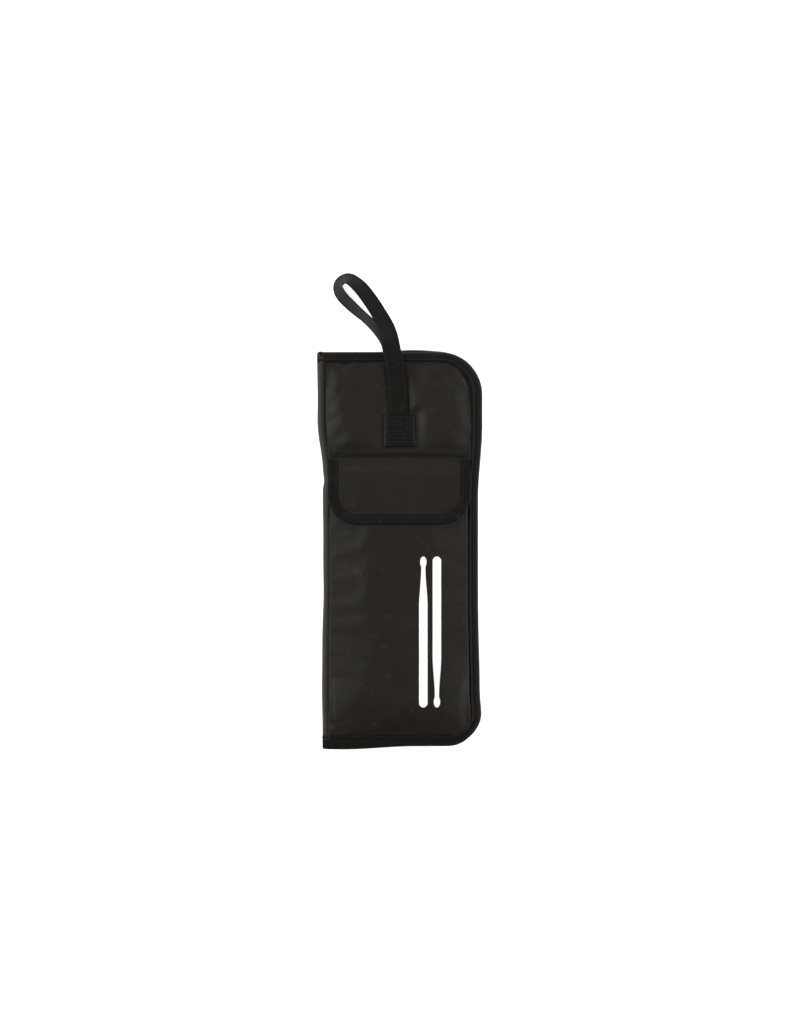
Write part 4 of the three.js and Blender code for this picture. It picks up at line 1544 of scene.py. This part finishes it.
outer_outline = rounded_end(SLIDER_LOW[0], SLIDER_HIGH[0], 5.5, SLIDER_Z, 4.0)
inner_outline = rounded_end(SLIDER_LOW[0] + 0.6, SLIDER_HIGH[0] - 0.4, 4.1, SLIDER_Z, 3.4)
post_outline = [(-81.0, 12.4), (-77.4, 12.4), (-76.6, 13.1), (-77.4, 13.8), (-81.0, 13.8)]
cheek_outline = [(-77.4, -269.9), (-77.4, -271.6), (-77.0, -272.4)]
cheek_outline += [(2 * PIN_X - x, y) for x, y in cheek_outline[::-1]]
slider_shapes = [
    plate(outer_outline, *OUTER_PLATE, "y", 0.35),
    plate(inner_outline, *INNER_PLATE, "y", 0.3),
    plate(post_outline, *POST, "y", 0.2),
]
for low, high in BRIDGE_CHEEKS:
    slider_shapes.append(plate(cheek_outline, low, high, "z", 0.25))
slider = joined("slider_body", slider_shapes)
pin = tube("slider_pin", [(PIN_X, PIN_Y, z) for z in spread(9.6, 16.6, 1.0)], 0.45)
add_parts(slider, [pin])
fit(slider, slider_metal, "slider", "zipper_slider")

PULL_Y = (PULL_LOW[1] + PULL_HIGH[1]) / 2
PULL_Z = 13.1
pull_outline = [(-75.0, 11.6), (-73.0, 11.2), (-66.0, 11.5), (-54.5, 11.1), (-51.4, 11.7), (-50.2, PULL_Z)]
pull_outline += [(x, 2 * PULL_Z - z) for x, z in pull_outline[-2::-1]]
pull = joined("pull_tab", [plate(pull_outline, PULL_Y - 0.5, PULL_Y + 0.5, "y", 0.25)])
pull_parts = [tube("pull_collar", [(PIN_X, PIN_Y, z) for z in spread(11.2, 15.0, 0.9)], 0.95, 12)]
for x in (-60, -58, -56, -54):
    pull_parts.append(tube("grip_rib", [(x, PULL_Y, z) for z in spread(11.9, 14.3, 0.8)], 0.72, 8))
add_parts(pull, pull_parts)
fit(pull, slider_metal, "pull", "slider_pull")

# ---------------------------------------------------------------- stitching
# Polyester thread, one stitch about every three millimetres: beside the seams of both halves, along
# every binding, round the hook-and-loop tapes, and round the patch.

STITCH_PITCH = 3.1
stitch = bead("stitch_pattern", 2.5, 0.55, 0.5, sides=6, rings=3)


def thread_finish():
    """Bonded thread: smooth, a little lighter than the cloth, dull where it dives in."""
    finish = Finish("thread", Specular_IOR_Level=0.2)
    twist = finish.noise(finish.object_place(), 0.8, 2)
    colour = finish.mix(twist, grey(0.006, 0.1), grey(0.015, 0.1))
    return finish.feed(Base_Color=colour, Roughness=0.42 + twist * 0.2, Normal=finish.bump(twist, 0.03))


thread = thread_finish()


def on(surface, path, lift=0.1):
    """A path of x, y points laid on a surface."""
    return np.array([(x, y, surface(x, y) + lift) for x, y in path])


def line(start, end):
    """A straight run of points about one stitch apart."""
    count = max(2, int(math.dist(start, end) / 3.0) + 1)
    return np.linspace(start, end, count)


def level_line(start_x, end_x, y):
    return line((start_x, y), (end_x, y))


def upright_line(x, start_y, end_y):
    return line((x, start_y), (x, end_y))


def box_stitch(low, high, in_x, in_y):
    """The four sides of a box sewn inside a strip: foot, right side, head and left side."""
    a, c = (low[0] + in_x, low[1] + in_y), (high[0] - in_x, high[1] - in_y)
    b, d = (c[0], a[1]), (a[0], c[1])
    return [line(a, b), line(b, c), line(c, d), line(d, a)]


def sewn(name, paths, body, ups=None):
    """One body's rows of stitches."""
    rows = row_along(name, paths, stitch, STITCH_PITCH, thread, ups, unevenness=0.08)
    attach(rows, body)


def facing_ways(above, below):
    """The up direction of each path: those sewn from above, then those seen from below."""
    return [(0, 0, 1)] * len(above) + [(0, 0, -1)] * len(below)


patch_top = surface_of(patch)
patch_foot = (PATCH_LOW[0] + 2.4, PATCH_LOW[1] + 3.2)
patch_head = (PATCH_HIGH[0] - 2.4, PATCH_HIGH[1] - 2)
patch_box = box_stitch(patch_foot, patch_head, 0, 0)
del patch_box[2]  # the head is left open for the loop
front_paths = [on(patch_top, path, 0.08) for path in patch_box]
front_paths += [on(patch_top, level_line(PATCH_LOW[0] + 2, PATCH_HIGH[0] - 2, 79.4), 0.08)]
front_paths += [on(front_top, rim_path(13.6, start=-84.0, step=3.0), 0.12)]
spine_line = upright_line(SPINE_SEAM + 1.8, BOTTOM + 16, TOP - 14)
front_paths += [on(front_top, settle(spine_line), 0.12)]

EDGE = 2.4
corner_x, corner_y = POCKET_HIGH[0] - POCKET_CORNER, POCKET_LOW[1] + POCKET_CORNER
reach = POCKET_CORNER - EDGE
pocket_edge = [(POCKET_LOW[0] + EDGE, y) for y in spread(MOUTH - 3, POCKET_LOW[1] + 3, 3)]
pocket_edge += [(x, POCKET_LOW[1] + EDGE) for x in spread(POCKET_LOW[0] + 3, corner_x, 3)]
for turn in np.linspace(0, math.pi / 2, 10):
    pocket_edge.append((corner_x + reach * math.sin(turn), corner_y - reach * math.cos(turn)))
pocket_edge += [(POCKET_HIGH[0] - EDGE, y) for y in spread(corner_y, MOUTH - 3, 3)]
front_paths += [on(pocket_top, settle(pocket_edge), 0.12)]
front_paths += [on(surface_of(mouth), level_line(mouth_x[0] + 1, mouth_x[-1] - 1, MOUTH - 6.6), 0.1)]
grip_top = surface_of(loop_strip)
front_paths += [on(grip_top, path, 0.12) for path in box_stitch(LOOP_LOW, LOOP_HIGH, 2, 1.6)]
seam_middle = (STRIP_LOW[1] + STRIP_HIGH[1]) / 2
seam_line = [(x, seam_middle - d) for x, d in zip(seam_x, dip)]
front_paths += [on(surface_of(seam_tape), seam_line, 0.1)]
sewn("front_stitches", front_paths, "front_half")

flap_top = surface_of(flap_band)
sheet_top = surface_of(flap_sheet)
flap_paths = [on(flap_top, flap_path(FLAP_BAND - inward)) for inward in (1.8, 3.4)]
flap_paths += [on(sheet_top, level_line(FLAP_LEFT + 14, FLAP_RIGHT - 14, SEAM_Y - 3.2))]
hook_paths = [on(flap_height, path, -1.5) for path in box_stitch(HOOK_LOW, HOOK_HIGH, 2, 1.6)]
sewn("flap_stitches", flap_paths + hook_paths, "flap", facing_ways(flap_paths, hook_paths))

sleeve_top = surface_of(sleeve)
back_paths = [on(sleeve_top, upright_line(SLEEVE_WEB, SLEEVE_LOW[1] + 2, SLEEVE_HIGH[1] - 10))]
back_paths += [on(sleeve_top, level_line(SLEEVE_LOW[0] + 3, SLEEVE_HIGH[0] - 9, SLEEVE_LOW[1] + 1.6))]
back_paths += [on(surface_of(sleeve_band), [(x, SLEEVE_HIGH[1] - 8) for x in sleeve_x[2:-2]])]
back_paths += [on(surface_of(back_hem), rim_path(9.6, start=-84.0, step=3.0))]
under_paths = [at_height(rim_path(7.2, start=-84.0, step=3.0), 0.55)]
under_paths += [at_height(settle(upright_line(-82.8, BOTTOM + 8, TOP - 8)), 0.3)]
sewn("back_stitches", back_paths + under_paths, "back_half", facing_ways(back_paths, under_paths))
